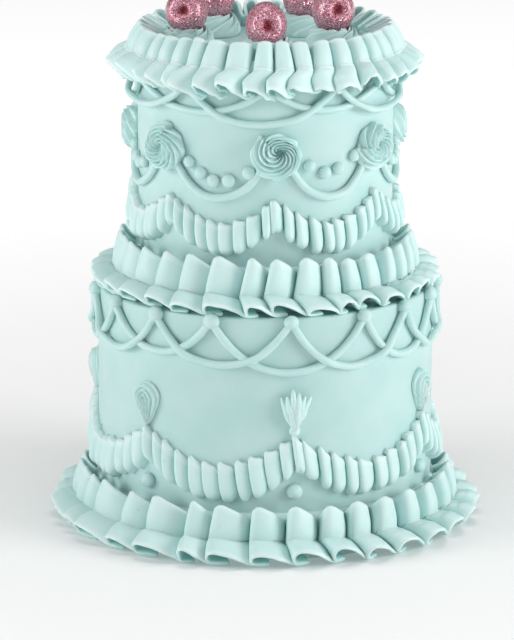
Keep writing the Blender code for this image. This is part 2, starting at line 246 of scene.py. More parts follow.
@dataclass
class Surface:
    """A closed surface: points in millimetres, faces of three or four, and how sunken each is.

    A mark is 0 where a point lies open, 1 where it is deep in a fold and -1 on a thin edge. On
    icing the marks paint shade into folds and light onto thin edges; on a cherry they mark the
    hollow where its bare skin shows.
    """

    points: Array
    faces: list[Array]
    marks: Array

    def facing_out(self) -> "Surface":
        """The surface with its faces turned outwards, by the sign of the volume that they hold.

        Returns:
            The surface itself where they face outwards already, or else a turned copy.
        """
        volume = 0.0
        for faces in self.faces:
            corners = self.points[faces]
            for k in range(1, faces.shape[1] - 1):
                normal = np.cross(corners[:, k], corners[:, k + 1])
                volume += float(np.einsum("ij,ij->", corners[:, 0], normal))
        if volume < 0:
            return Surface(self.points, [faces[:, ::-1] for faces in self.faces], self.marks)
        return self


def joined(surfaces: Iterable[Surface]) -> Surface:
    """One surface that holds several.

    Args:
        surfaces: The surfaces, each closed by itself.

    Returns:
        A surface with all their points and faces.
    """
    parts = list(surfaces)
    starts = np.cumsum([0] + [len(part.points) for part in parts])
    faces = [faces + start for part, start in zip(parts, starts) for faces in part.faces]
    points = np.concatenate([part.points for part in parts])
    return Surface(points, faces, np.concatenate([part.marks for part in parts]))


def quads(rows: Array, closed: bool) -> Array:
    """Faces between neighbouring rows of point numbers, each row closed on itself.

    Args:
        rows: Point numbers, one row after another.
        closed: Whether the last row joins the first.

    Returns:
        Four point numbers for each face.
    """
    above = rows if closed else rows[:-1]
    below = np.roll(rows, -1, axis=0) if closed else rows[1:]
    corners = (above, np.roll(above, -1, axis=1), np.roll(below, -1, axis=1), below)
    return np.stack(corners, -1).reshape(-1, 4)


def ring(grid: Array, marks: Array | float = 0.0) -> Surface:
    """A closed ring of points.

    Args:
        grid: The points, whose rows and columns both close on themselves.
        marks: How sunken each is.

    Returns:
        The ring as one closed surface.
    """
    rows = np.arange(grid.shape[0] * grid.shape[1]).reshape(grid.shape[:2])
    marks = np.broadcast_to(marks, grid.shape[:2])
    return Surface(grid.reshape(-1, 3), [quads(rows, True)], marks.ravel()).facing_out()


def pod(grid: Array, marks: Array | float = 0.0) -> Surface:
    """A closed pod, with a pole in the middle of each end row.

    Args:
        grid: The points, whose rows close on themselves.
        marks: How sunken each is.

    Returns:
        The pod as one closed surface.
    """
    count = grid.shape[0] * grid.shape[1]
    rows = np.arange(count).reshape(grid.shape[:2])
    poles = np.stack((grid[0].mean(axis=0), grid[-1].mean(axis=0)))
    first, last = rows[0], rows[-1]
    start = np.stack((np.full_like(first, count), np.roll(first, -1), first), -1)
    end = np.stack((np.full_like(last, count + 1), last, np.roll(last, -1)), -1)
    points = np.concatenate((grid.reshape(-1, 3), poles))
    marks = np.broadcast_to(marks, grid.shape[:2])
    marks = np.concatenate((marks.ravel(), (marks[0].mean(), marks[-1].mean())))
    return Surface(points, [quads(rows, False), start, end], marks).facing_out()


def backed(front: Array, back: Array, marks: Array) -> Surface:
    """A closed pod of a front and one row behind it, marked as the front's last row is."""
    return pod(np.concatenate((front, back)), np.concatenate((marks, marks[-1:])))


def thickened(middle: Array, thickness: Array, marks: Array, back: Array) -> Surface:
    """A closed ring of ribbon round a middle surface, with rounded edges.

    Each side lies half the thickness off the middle, along the cross product of its two ways.

    Args:
        middle: Points of the ribbon's middle, rows from edge to edge, closed round the columns.
        thickness: The ribbon's thickness at each of those points.
        marks: How sunken its front is at each of them.
        back: How sunken its back is at each of them.

    Returns:
        The ribbon as one closed surface.
    """
    along = np.roll(middle, -1, axis=1) - np.roll(middle, 1, axis=1)
    across = np.gradient(middle, axis=0)
    normal = np.cross(along, across)
    normal /= np.linalg.norm(normal, axis=2, keepdims=True) + 1e-9
    half = normal * thickness[..., None] / 2
    first = middle[0] - unit(middle[1] - middle[0]) * thickness[0, :, None] / 2
    last = middle[-1] + unit(middle[-1] - middle[-2]) * thickness[-1, :, None] / 2
    rows = (first[None], middle + half, last[None], (middle - half)[::-1])
    sunken = (marks[:1], back, marks[-1:], marks[::-1])
    return ring(np.concatenate(rows), np.concatenate(sunken))


def unit(vectors: Array) -> Array:
    """The vectors at length 1."""
    return vectors / (np.linalg.norm(vectors, axis=-1, keepdims=True) + 1e-9)


def tube(path: Array, outward: Array, radius: Array, sides: int = 12) -> Surface:
    """A round string along a path, with domed ends.

    A point is the path's point + r (cos a · outward + sin a · sideways), where sideways is square
    to the path and to outward.

    Args:
        path: Points along the middle of the string.
        outward: For each of them, a direction roughly square to the path.
        radius: For each of them, the string's radius.
        sides: Points round the string.

    Returns:
        The string as one closed surface.
    """
    ahead = unit(np.gradient(path, axis=0))
    sideways = unit(np.cross(ahead, outward))
    square = np.cross(sideways, ahead)
    angle = np.linspace(0, TURN, sides, endpoint=False)[None, :, None]
    spread = np.cos(angle) * square[:, None] + np.sin(angle) * sideways[:, None]
    return pod(path[:, None] + spread * radius[:, None, None])


# What carries the piping.


@dataclass(frozen=True)
class WallBed:
    """A place on a tier's wall: its radius, its azimuth and its height."""

    wall: float
    azimuth: float
    height: float

    def lay(self, across: Array, up: Array, out: Array) -> Array:
        """Wraps a drawing round the wall: across becomes an arc, and out a distance off it."""
        azimuth = self.azimuth + np.degrees(across / self.wall)
        return polar(self.wall + out, azimuth, self.height + up)


@dataclass(frozen=True)
class TopBed:
    """A place on the top of the cake: its middle."""

    middle: Array

    def lay(self, across: Array, up: Array, out: Array) -> Array:
        """Lays a drawing flat on the top, with out upwards."""
        x, y = self.middle[:2]
        return np.stack(np.broadcast_arrays(x + across, y + up, TOP + out), -1)


# Finishes.


@dataclass(frozen=True)
class Nodes:
    """A material's node tree, and short ways to add to it."""

    tree: bpy.types.NodeTree

    def add(self, kind: str, **inputs: object) -> bpy.types.Node:
        """A new node.

        Args:
            kind: The node's type.
            **inputs: Values or sockets by input name, with _ for a space.

        Returns:
            The node, with its inputs set or joined.
        """
        node = self.tree.nodes.new(kind)
        self.fill(node, **inputs)
        return node

    def fill(self, node: bpy.types.Node, **inputs: object) -> None:
        """Sets or joins a node's inputs by name, with _ for a space."""
        for name, value in inputs.items():
            self.feed(node.inputs[name.replace("_", " ")], value)

    def maths(self, kind: str, operation: str, *values: object) -> bpy.types.Node:
        """A maths node.

        Args:
            kind: The node's type.
            operation: What it does.
            *values: Values or sockets, in the order of its inputs.

        Returns:
            The node, with its inputs set or joined.
        """
        node = self.add(kind)
        node.operation = operation
        for socket, value in zip(node.inputs, values):
            self.feed(socket, value)
        return node

    def feed(self, socket: bpy.types.NodeSocket, value: object) -> None:
        """Sets a socket to a value, or joins another socket to it."""
        if isinstance(value, bpy.types.NodeSocket):
            self.tree.links.new(value, socket)
        else:
            socket.default_value = value

    def mapped(self, value: object, low: float, high: float, to: tuple[float, float]) -> object:
        """A value whose range is moved to another.

        Args:
            value: The value.
            low: The start of its range.
            high: The end of its range.
            to: The start and the end of the other range.

        Returns:
            The socket of the moved value.
        """
        node = self.add("ShaderNodeMapRange", Value=value, From_Min=low, From_Max=high)
        node.inputs["To Min"].default_value, node.inputs["To Max"].default_value = to
        return node.outputs["Result"]

    def mixed(self, share: object, first: object, second: object) -> bpy.types.NodeSocket:
        """A colour between two others.

        Args:
            share: How far it is on the way from the first to the second.
            first: The first colour.
            second: The second colour.

        Returns:
            The socket of the colour.
        """
        node = self.add("ShaderNodeMix")
        node.data_type = "RGBA"
        for name, value in (("Factor", share), ("A", first), ("B", second)):
            self.feed(node.inputs[name], value)
        return node.outputs["Result"]

    def marks(self) -> bpy.types.NodeSocket:
        """The mark that says how sunken each point is, which paints shade into the icing's folds
        and light onto its thin edges.
        """
        node = self.add("ShaderNodeAttribute")
        node.attribute_name = "sunken"
        return node.outputs["Fac"]


def new_material(name: str) -> tuple[bpy.types.Material, Nodes, bpy.types.Node]:
    """A new material, with its nodes and its main shader."""
    material = bpy.data.materials.new(name)
    material.use_nodes = True
    return material, Nodes(material.node_tree), material.node_tree.nodes["Principled BSDF"]


def placed(name: str, data: bpy.types.ID) -> bpy.types.Object:
    """A new object in the scene."""
    thing = bpy.data.objects.new(name, data)
    bpy.context.scene.collection.objects.link(thing)
    return thing


@dataclass(frozen=True)
class Buttercream:
    """Satin buttercream: an uneven tint, a soft grain, pits where air bubbles broke, painted shade
    in folds and painted light on thin edges.

    Attributes:
        name: The material's name.
        tint: The icing's colour.
        deep: Its colour where more of the dye shows.
        sunken: Painted shade, its colour deep in a fold.
        edge: Painted light, its colour on a thin edge or ridge.
        grain: Depth of the grain, in millimetres.
        pits: Depth of the pits, in millimetres.
        clouds: Patches of dye in a metre.
        sheens: Patches of gloss in a metre.
        grains: Grains in a metre.
        bubbles: Air bubbles in a metre, most of which left no pit.
    """

    name: str
    tint: tuple[float, float, float] = (0.545, 0.75, 0.735)
    deep: tuple[float, float, float] = (0.485, 0.72, 0.705)
    sunken: tuple[float, float, float] = (0.30, 0.64, 0.61)
    edge: tuple[float, float, float] = (0.80, 0.935, 0.925)
    grain: float = 0.09
    pits: float = 0.45
    clouds: float = 38.0
    sheens: float = 160.0
    grains: float = 900.0
    bubbles: float = 170.0

    def material(self) -> bpy.types.Material:
        """The finish on Object coordinates, with painted shade in folds and painted light on thin
        edges.

        Returns:
            The material.
        """
        material, nodes, shader = new_material(self.name)
        place = nodes.add("ShaderNodeTexCoord").outputs["Object"]
        cloud = nodes.add("ShaderNodeTexNoise", Vector=place, Scale=self.clouds, Detail=3.0)
        dye = nodes.mapped(cloud.outputs["Fac"], 0.35, 0.7, (0.0, 1.0))
        tint = nodes.mixed(dye, (*self.tint, 1.0), (*self.deep, 1.0))
        # Painted shade deep in folds and painted light on thin edges and ridges, both from the
        # sunken marks.
        fold = nodes.mapped(nodes.marks(), 0.0, 1.0, (0.0, 0.85))
        tint = nodes.mixed(fold, tint, (*self.sunken, 1.0))
        thin = nodes.mapped(nodes.marks(), -1.0, 0.0, (0.8, 0.0))
        gloss = nodes.add("ShaderNodeTexNoise", Vector=place, Scale=self.sheens, Detail=2.0)
        nodes.fill(
            shader,
            Base_Color=nodes.mixed(thin, tint, (*self.edge, 1.0)),
            Roughness=nodes.mapped(gloss.outputs["Fac"], 0.3, 0.7, (0.36, 0.52)),
            IOR=1.4,
            Subsurface_Weight=0.2,
            Subsurface_Radius=(0.7, 1.2, 1.15),
            Subsurface_Scale=0.0012,
            Normal=self.relief(nodes, place),
        )
        return material

    def relief(self, nodes: Nodes, place: bpy.types.NodeSocket) -> bpy.types.NodeSocket:
        """The grain and the pits, as a normal.

        Args:
            nodes: The material's nodes.
            place: The Object coordinates.

        Returns:
            The socket of the bumped normal.
        """
        grain = nodes.add("ShaderNodeTexNoise", Vector=place, Scale=self.grains, Detail=4.0)
        soft = nodes.add(
            "ShaderNodeBump",
            Height=grain.outputs["Fac"],
            Distance=self.grain * MM,
            Strength=1.0,
        )
        cells = nodes.add("ShaderNodeTexVoronoi", Vector=place, Scale=self.bubbles)
        hole = nodes.mapped(cells.outputs["Distance"], 0.02, 0.10, (0.0, 1.0))
        rare = nodes.add("ShaderNodeSeparateColor", Color=cells.outputs["Color"])
        kept = nodes.mapped(rare.outputs["Red"], 0.74, 0.76, (1.0, 0.0))
        level = nodes.maths("ShaderNodeMath", "MAXIMUM", hole, kept)
        pitted = nodes.add(
            "ShaderNodeBump",
            Height=level.outputs["Value"],
            Distance=self.pits * MM,
            Strength=1.0,
            Normal=soft.outputs["Normal"],
        )
        return pitted.outputs["Normal"]


@dataclass(frozen=True)
class Glitter:
    """Edible glitter over a cherry: flakes that each tilt and shine their own way.

    Attributes:
        name: The material's name.
        dark: The colour of the flakes that catch least light.
        light: The colour of those that catch most.
        skin: The colour of the cherry itself, in its hollow.
        flakes: Flakes in a metre.
        step: How far the flakes stand above one another, in millimetres.
        grain: Depth of the grain on them, in millimetres.
        lean: How far each flake tilts.
    """

    name: str
    dark: tuple[float, float, float] = (0.50, 0.105, 0.17)
    light: tuple[float, float, float] = (0.98, 0.60, 0.72)
    skin: tuple[float, float, float] = (0.20, 0.012, 0.018)
    flakes: float = 1500.0
    step: float = 0.35
    grain: float = 0.2
    lean: float = 0.7

    def material(self) -> bpy.types.Material:
        """The finish on Object coordinates, with the bare cherry where it is marked as sunken.

        Returns:
            The material.
        """
        material, nodes, shader = new_material(self.name)
        place = nodes.add("ShaderNodeTexCoord").outputs["Object"]
        flakes = nodes.add("ShaderNodeTexVoronoi", Vector=place, Scale=self.flakes)
        chance = nodes.add("ShaderNodeSeparateColor", Color=flakes.outputs["Color"])
        share = nodes.mapped(chance.outputs["Green"], 0.25, 1.0, (0.0, 1.0))
        tint = nodes.mixed(share, (*self.dark, 1.0), (*self.light, 1.0))
        bare = nodes.mapped(nodes.marks(), 0.3, 0.75, (0.0, 0.92))
        metal = nodes.mapped(chance.outputs["Blue"], 0.3, 0.8, (0.25, 0.9))
        steps = nodes.add(
            "ShaderNodeBump",
            Height=chance.outputs["Red"],
            Distance=self.step * MM,
            Strength=1.0,
            Normal=self.tilt(nodes, flakes.outputs["Color"]),
        )
        grain = nodes.add("ShaderNodeTexNoise", Vector=place, Scale=self.flakes, Detail=3.0)
        rough = nodes.add(
            "ShaderNodeBump",
            Height=grain.outputs["Fac"],
            Distance=self.grain * MM,
            Normal=steps.outputs["Normal"],
        )
        nodes.fill(
            shader,
            Base_Color=nodes.mixed(bare, tint, (*self.skin, 1.0)),
            Metallic=metal,
            Roughness=nodes.mapped(metal, 0.2, 0.9, (0.5, 0.22)),
            Coat_Weight=nodes.mapped(bare, 0.0, 0.5, (0.8, 0.0)),
            Coat_Roughness=0.24,
            Coat_IOR=1.8,
            Normal=rough.outputs["Normal"],
        )
        return material

    def tilt(self, nodes: Nodes, chance: bpy.types.NodeSocket) -> bpy.types.NodeSocket:
        """A normal that leans its own way on each flake: normal + lean · (random - 0.5).

        Args:
            nodes: The material's nodes.
            chance: A random colour for each flake.

        Returns:
            The socket of the leaning normal.
        """
        kind = "ShaderNodeVectorMath"
        centred = nodes.maths(kind, "SUBTRACT", chance, (0.5, 0.5, 0.5)).outputs["Vector"]
        normal = nodes.add("ShaderNodeNewGeometry").outputs["Normal"]
        leaning = nodes.maths(kind, "MULTIPLY_ADD", centred, (self.lean,) * 3, normal)
        return nodes.maths(kind, "NORMALIZE", leaning.outputs["Vector"]).outputs["Vector"]


class Part(Protocol):
    """A part of the cake that stands for one solid."""

    node: str

    def surface(self) -> Surface:
        """Its closed surface."""


@dataclass
class Kitchen:
    """Turns surfaces into pieces that ride on the cake.

    Attributes:
        icing: The material of most piping.
        string: The material of the strings and pearls.
        wall: The material of the smoothed walls.
        glitter: The material of the cherries.
    """

    icing: bpy.types.Material
    string: bpy.types.Material
    wall: bpy.types.Material
    glitter: bpy.types.Material

    def serve(
        self, name: str, surface: Surface, material: bpy.types.Material, *nodes: str
    ) -> bpy.types.Object:
        """Makes a piece of a surface, in place of the solids that it stands for.

        Args:
            name: The piece's name.
            surface: Its surface.
            material: Its finish.
            *nodes: The solids that it replaces, if any.

        Returns:
            The piece, riding on the cake.
        """
        mesh = bpy.data.meshes.new(name)
        mesh.vertices.add(len(surface.points))
        mesh.vertices.foreach_set("co", (surface.points * MM).astype(np.float32).ravel())
        corners = np.concatenate([faces.ravel() for faces in surface.faces])
        sizes = np.concatenate([np.full(len(f), f.shape[1]) for f in surface.faces])
        starts = np.concatenate(([0], np.cumsum(sizes)[:-1]))
        mesh.loops.add(len(corners))
        mesh.loops.foreach_set("vertex_index", corners.astype(np.int32))
        mesh.polygons.add(len(sizes))
        mesh.polygons.foreach_set("loop_start", starts.astype(np.int32))
        mesh.polygons.foreach_set("use_smooth", np.ones(len(sizes), dtype=bool))
        mesh.update(calc_edges=True)
        # The sunken marks: painted shade and painted light on icing, and bare skin in a cherry's
        # hollow.
        layer = mesh.attributes.new("sunken", "FLOAT", "POINT")
        layer.data.foreach_set("value", surface.marks.astype(np.float32))
        mesh.materials.append(material)
        piece = placed(name, mesh)
        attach(piece, "root")
        if nodes:
            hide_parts(*nodes)
        LOG.info("%s: %d points for %s", name, len(surface.points), ", ".join(nodes) or "itself")
        return piece

    def dress(self, part: Part, material: bpy.types.Material, ending: str = "icing") -> None:
        """Makes the piece of a part, in place of the part's solid."""
        self.serve(f"{part.node}_{ending}", part.surface(), material, part.node)


# The sub-assemblies.


@dataclass
class Tier:
    """One smoothed tier: a turned profile with the faint waves that a scraper leaves.

    Attributes:
        node: The solid that it replaces.
        wall: The wall's radius.
        base: The height of its underside.
        top: The height of its top.
        edge: The radius of its top edge.
        wave: Height of the scraper's waves.
        seed: Seed of its unevenness.
    """

    node: str
    wall: float
    base: float
    top: float
    edge: float = 1.8
    wave: float = 0.28
    seed: int = 1

    def surface(self) -> Surface:
        """The tier, turned about the axis.

        The radius is the profile's + wave · (relief of broad patches + half that of long low
        streaks), and the top's height takes the same broad patches.

        Returns:
            The tier as one closed surface.
        """
        rng = np.random.default_rng(self.seed)
        columns, rise = 288, 84
        up = np.linspace(0, 1, rise)
        round_edge = np.linspace(0, np.pi / 2, 7)[1:]
        radius = np.concatenate(
            (
                np.linspace(0.3, 1, 9)[:-1] * self.wall,
                np.full(rise, self.wall),
                self.wall - self.edge * (1 - np.cos(round_edge)),
                np.linspace(1, 0.02, 26)[1:] * (self.wall - self.edge),
            )
        )
        height = np.concatenate(
            (
                np.full(8, self.base),
                blend(self.base, self.top - self.edge, up),
                self.top - self.edge * (1 - np.sin(round_edge)),
                np.full(25, self.top),
            )
        )
        share = np.linspace(0, 1, columns, endpoint=False)[None]
        level = ((height - self.base) / (self.top - self.base))[:, None] * 0.999
        broad = patch_noise(rng, (11, 5), share, level)
        streaks = patch_noise(rng, (9, 34), share, level)
        relief = self.wave * (broad + 0.5 * streaks)
        on_top = smooth((self.wall - 2 - radius) / 4)[:, None]
        flat = patch_noise(rng, (14, 4), share, (radius / self.wall)[:, None] * 0.999)
        turned = radius[:, None] + relief * (1 - on_top) * (level > 0.001)
        lift = self.wave * flat * on_top * (level > 0.5)
        return pod(polar(turned, share * 360, height[:, None] + lift))


@dataclass(frozen=True)
class Bend:
    """How the ribbon bends over one pleat, at ten even steps from its left fold.

    Attributes:
        round: How far round each step is, in tenths of a pleat.
        out: How far out it is, in millimetres.
        up: How far up it is, in millimetres.
    """

    round: tuple[float, ...]
    out: tuple[float, ...]
    up: tuple[float, ...]

    def at(self, place: Array) -> Array:
        """The bend at places along the ribbon.

        Args:
            place: The places, in pleats.

        Returns:
            For each, how far round it is in pleats, and how far out and up in millimetres.
        """
        steps = np.arange(len(self.round))
        knots = np.stack(((np.array(self.round) - steps) / 10, self.out, self.up), -1)
        path = rounded(knots, place % 1)
        path[..., 0] += place
        return path


STANDING = Bend(
    round=(0.0, 0.3, 1.8, 4.1, 6.4, 8.2, 9.4, 10.2, 10.5, 10.3),
    out=(1.6, 5.8, 7.4, 6.4, 3.2, -1.6, -5.8, -7.8, -7.0, -3.4),
    up=(-0.6, 5.2, 7.2, 4.6, 0.6, -3.6, -6.2, -6.6, -5.6, -3.6),
)
CREASED = Bend(
    round=(0.0, 0.3, 1.8, 4.1, 6.4, 8.2, 9.4, 10.2, 10.5, 10.3),
    out=(1.6, 5.2, 6.4, 5.4, 2.6, -1.4, -5.0, -6.6, -6.0, -2.8),
    up=(0.8, 2.6, 3.0, 2.0, 0.4, -1.4, -2.6, -3.0, -2.4, -1.0),
)
LOOPED = Bend(
    round=(0.0, 0.5, 2.3, 4.9, 7.6, 10.2, 13.2, 14.2, 12.6, 10.6),
    out=(1.0, 3.8, 5.2, 4.2, 1.2, -2.4, -5.0, -4.8, -2.4, -0.4),
    up=(2.0, 6.0, 7.6, 6.0, 2.2, -1.8, -2.8, -1.6, -1.0, -0.7),
)
FINGERED = Bend(
    round=(0.0, 0.0, 1.2, 3.3, 5.4, 6.8, 7.2, 7.7, 8.7, 9.7),
    out=(-2.8, 3.8, 6.4, 7.0, 6.2, 3.0, -3.6, -7.4, -8.0, -6.4),
    up=(-3.0, 1.0, 2.8, 3.2, 2.6, 0.6, -3.0, -5.2, -5.8, -5.0),
)
HEMMED = Bend(
    round=(0.0, 0.1, 1.7, 4.3, 6.9, 9.1, 11.5, 12.9, 12.2, 10.6),
    out=(0.2, 5.0, 8.0, 7.0, 3.0, -2.0, -5.8, -6.8, -4.8, -1.8),
    up=(1.2, 4.8, 6.4, 4.2, 0.2, -3.2, -4.4, -3.0, -1.2, -0.2),
)


@dataclass(frozen=True)
class Line:
    """One of the three lines along a ruffle: an edge or its crease.

    Attributes:
        radius: Its mean distance from the cake's axis.
        height: Its mean height.
        bend: How it bends over a pleat.
        size: How deep it bends, as a share of that.
        shift: How far round it lies from the crease, as a share of a pleat.
        belly: How far the ribbon bulges between it and the crease.
        reach: How much further out it is at the front than at the sides and the back.
    """

    radius: float
    height: float
    bend: Bend
    size: float = 1.0
    shift: float = 0.0
    belly: float = 0.0
    reach: float = 0.0


@dataclass
class Ruffle:
    """A pleated ribbon of icing round a tier: two wings that meet in a crease.

    Each of the three lines along it has a bend of its own, and the ribbon runs straight from one
    line to the next, but for its belly.

    Attributes:
        node: The solid that it replaces.
        pleats: Pleats in the whole ring.
        folds: Azimuths of the pleats' left folds at the front, along the crease.
        upper: The upper edge.
        crease: The crease.
        lower: The lower edge.
        bed: Outline of the icing behind the ribbon, as (radius, height).
        hem: Azimuths of the left folds along the lower edge, if they differ.
        slopes: How much the upper wings of the pleats at the front slope to the right.
        lobes: How deep the lower wing's pleats are at the front, as shares of its bend.
        floor: Lowest height of the ribbon's middle, or None where nothing is under it.
        bead: Height of the two fine ridges that the tip leaves along the crease.
        lively: Unevenness of the lower wing's pleats.
        ragged: Depth of the tears in the lower edge.
        thickness: The ribbon's thickness.
        columns: The most points along the ring.
        seed: Seed of its unevenness.
    """

    node: str
    pleats: int
    folds: tuple[float, ...]
    upper: Line
    crease: Line
    lower: Line
    bed: tuple[tuple[float, float], ...]
    hem: tuple[float, ...] = ()
    slopes: tuple[float, ...] = ()
    lobes: tuple[float, ...] = ()
    floor: float | None = None
    bead: float = 1.0
    lively: float = 0.25
    ragged: float = 0.25
    thickness: float = 2.7
    columns: int = 1400
    seed: int = 1

    def rows(self) -> Array:
        """Places across the ribbon: -1 at the upper edge, 0 at the crease, 1 at the lower."""
        wing = np.linspace(0.12, 1, 12)
        crease = (-0.09, -0.065, -0.045, -0.02, 0.0, 0.02, 0.04, 0.06, 0.085)
        return np.concatenate((-wing[::-1], crease, wing))

    def surface(self) -> Surface:
        """The ribbon and the icing behind it.

        The ribbon has painted shade where its bend goes in and on the back of its lower wing, and
        painted light near its edges and along the ridge of its crease. It is thinner towards its
        edges by 0.3 · across².

        Returns:
            Both as one surface of two closed rings.
        """
        columns = self.pleats * (self.columns // self.pleats)
        place = np.linspace(0, self.pleats, columns, endpoint=False)[None]
        across = self.rows()[:, None]
        ribbon = self.middle(across, place)
        # Painted shade where the bend goes in, and painted light near the edges and on the crease's
        # ridge.
        sunken = smooth((2.0 - self.bent(across, place)[..., 1]) / 7.5)
        sunken = sunken - 0.75 * smooth((np.abs(across) - 0.84) / 0.16) - bump(across, 0.04, 0.03)
        thickness = self.thickness * (1.1 - 0.3 * across**2 + 0 * place)
        share = np.linspace(0, 360, 144, endpoint=False)[None]
        bed = np.array(self.bed)
        behind = ring(polar(bed[:, :1], share, bed[:, 1:]))
        # Painted shade on the back of the lower wing, which faces the tier.
        back = np.where(across > 0, 0.8, 0.0) + 0 * place
        return joined((thickened(ribbon, thickness, sunken, back), behind))

    def bent(self, across: Array, place: Array) -> Array:
        """The bend across both wings: straight from the crease's to that of each edge.

        Args:
            across: Places across the ribbon, a column.
            place: Places along it, in pleats, a row.

        Returns:
            How far round, out and up it is at each point.
        """
        lines = (self.upper, self.crease, self.lower)
        upper, crease, lower = (line.bend.at(place) for line in lines)
        wing = np.abs(across)[..., None]
        return blend(crease, np.where(across[..., None] > 0, lower, upper), wing)

    def middle(self, across: Array, place: Array) -> Array:
        """Points of the ribbon's middle.

        Out and up are the bend's times its size, less or more from pleat to pleat, and the crease's
        ridges and the wings' bellies, sin(π · across^0.8), are added square to the wing.

        Args:
            across: Places across the ribbon, a column.
            place: Places along it, in pleats, a row.

        Returns:
            The points, a row for each place across.
        """
        rng = np.random.default_rng(self.seed)
        share = place / self.pleats
        bend = self.bent(across, place)
        depth = 1 + 0.14 * ring_noise(rng, self.pleats, share)
        lobe = self.per_pleat(rng, self.lobes, (1 - self.lively, 1 + self.lively), share)
        slope = self.per_pleat(rng, self.slopes, (0.5, 1.0), share)
        size = self.across("size", across) * depth * blend(1, lobe, smooth(across * 2))
        facing = self.facing(across)
        off = self.bead * (bump(across, 0.04, 0.030) + 0.6 * bump(across, -0.06, 0.028))
        belly = np.where(across > 0, self.lower.belly, self.upper.belly)
        off = off + belly * np.sin(np.pi * np.abs(across) ** 0.8)
        steep = blend(1, 0.6 + 0.4 * slope, across < 0.5)
        out = bend[..., 1] * size + off * np.cos(facing)
        up = bend[..., 2] * size * steep + off * np.sin(facing)
        radius = self.reach(across, "radius", share) + out
        height = self.reach(across, "height", share) + up
        if self.floor is not None:
            above = height - self.floor
            height = self.floor + (above + np.sqrt(above**2 + 0.2)) / 2
        stray = ring_noise(rng, self.pleats, share) * np.abs(across) * (0.05 + 0.35 * self.lively)
        shift = self.across("shift", across) * np.where(across < 0, slope, 1) + stray
        azimuth = self.azimuths(across, bend[..., 0] + shift)
        ahead = np.clip(np.cos(np.radians(azimuth)), 0, 1)
        return polar(radius + self.across("reach", across) * ahead, azimuth, height)

    def per_pleat(
        self, rng: np.random.Generator, known: tuple[float, ...], span: tuple[float, float],
        share: Array,
    ) -> Array:
        """A value for each pleat, known at the front and random round the back, joined smoothly.

        Args:
            rng: Where the random values come from.
            known: The values of the pleats at the front.
            span: The least and the greatest random value.
            share: Places round the ring, where a full turn is 1.

        Returns:
            A value for each place.
        """
        values = rng.uniform(*span, self.pleats)
        values[: len(known)] = known
        return ring_values(values, share)

    def azimuths(self, across: Array, turn: Array) -> Array:
        """The azimuths of places on the ribbon, with its folds where they were piped.

        Args:
            across: Places across the ribbon.
            turn: How far round each point is, in pleats.

        Returns:
            An azimuth for each point.
        """
        upper = between(all_round(self.folds, self.pleats), turn)
        lower = between(all_round(self.hem or self.folds, self.pleats), turn)
        return blend(upper, lower, smooth(across * 1.5))

    def reach(self, across: Array, name: str, share: Array) -> Array:
        """A size of the ribbon across its wings, whose lengths vary and whose edges are torn.

        Args:
            across: Places across the ribbon.
            name: The size's name, radius or height.
            share: Places round the ring, where a full turn is 1.

        Returns:
            The size at each point.
        """
        rng = np.random.default_rng(self.seed + 100)
        down = across > 0
        length = 1 + (0.05 + 0.3 * self.lively * down) * ring_noise(rng, self.pleats, share)
        torn = ring_noise(rng, self.pleats * 9, share) + ring_noise(rng, self.pleats * 17, share)
        torn = torn * (self.ragged * down + 0.12) / 20 * smooth((np.abs(across) - 0.7) / 0.3)
        tip = np.where(down, getattr(self.lower, name), getattr(self.upper, name))
        return blend(getattr(self.crease, name), tip, np.abs(across) * length * (1 + torn))

    def across(self, name: str, across: Array) -> Array:
        """A size of the three lines, joined straight from one to the next."""
        values = [getattr(line, name) for line in (self.upper, self.crease, self.lower)]
        return np.interp(across, (-1, 0, 1), values)

    def facing(self, across: Array) -> Array:
        """The ribbon's outward direction, as its angle above level.

        Each wing's is square to it, and the crease turns smoothly from one to the other.

        Args:
            across: Places across the ribbon.

        Returns:
            An angle in radians for each place.
        """
        rise = self.upper.height - self.crease.height
        inward = self.crease.radius - self.upper.radius
        drop = self.crease.height - self.lower.height
        outward = self.lower.radius - self.crease.radius
        standing, flaring = np.arctan2(inward, rise), np.arctan2(outward, drop)
        return blend(standing, flaring, smooth((across + 0.35) / 0.7))


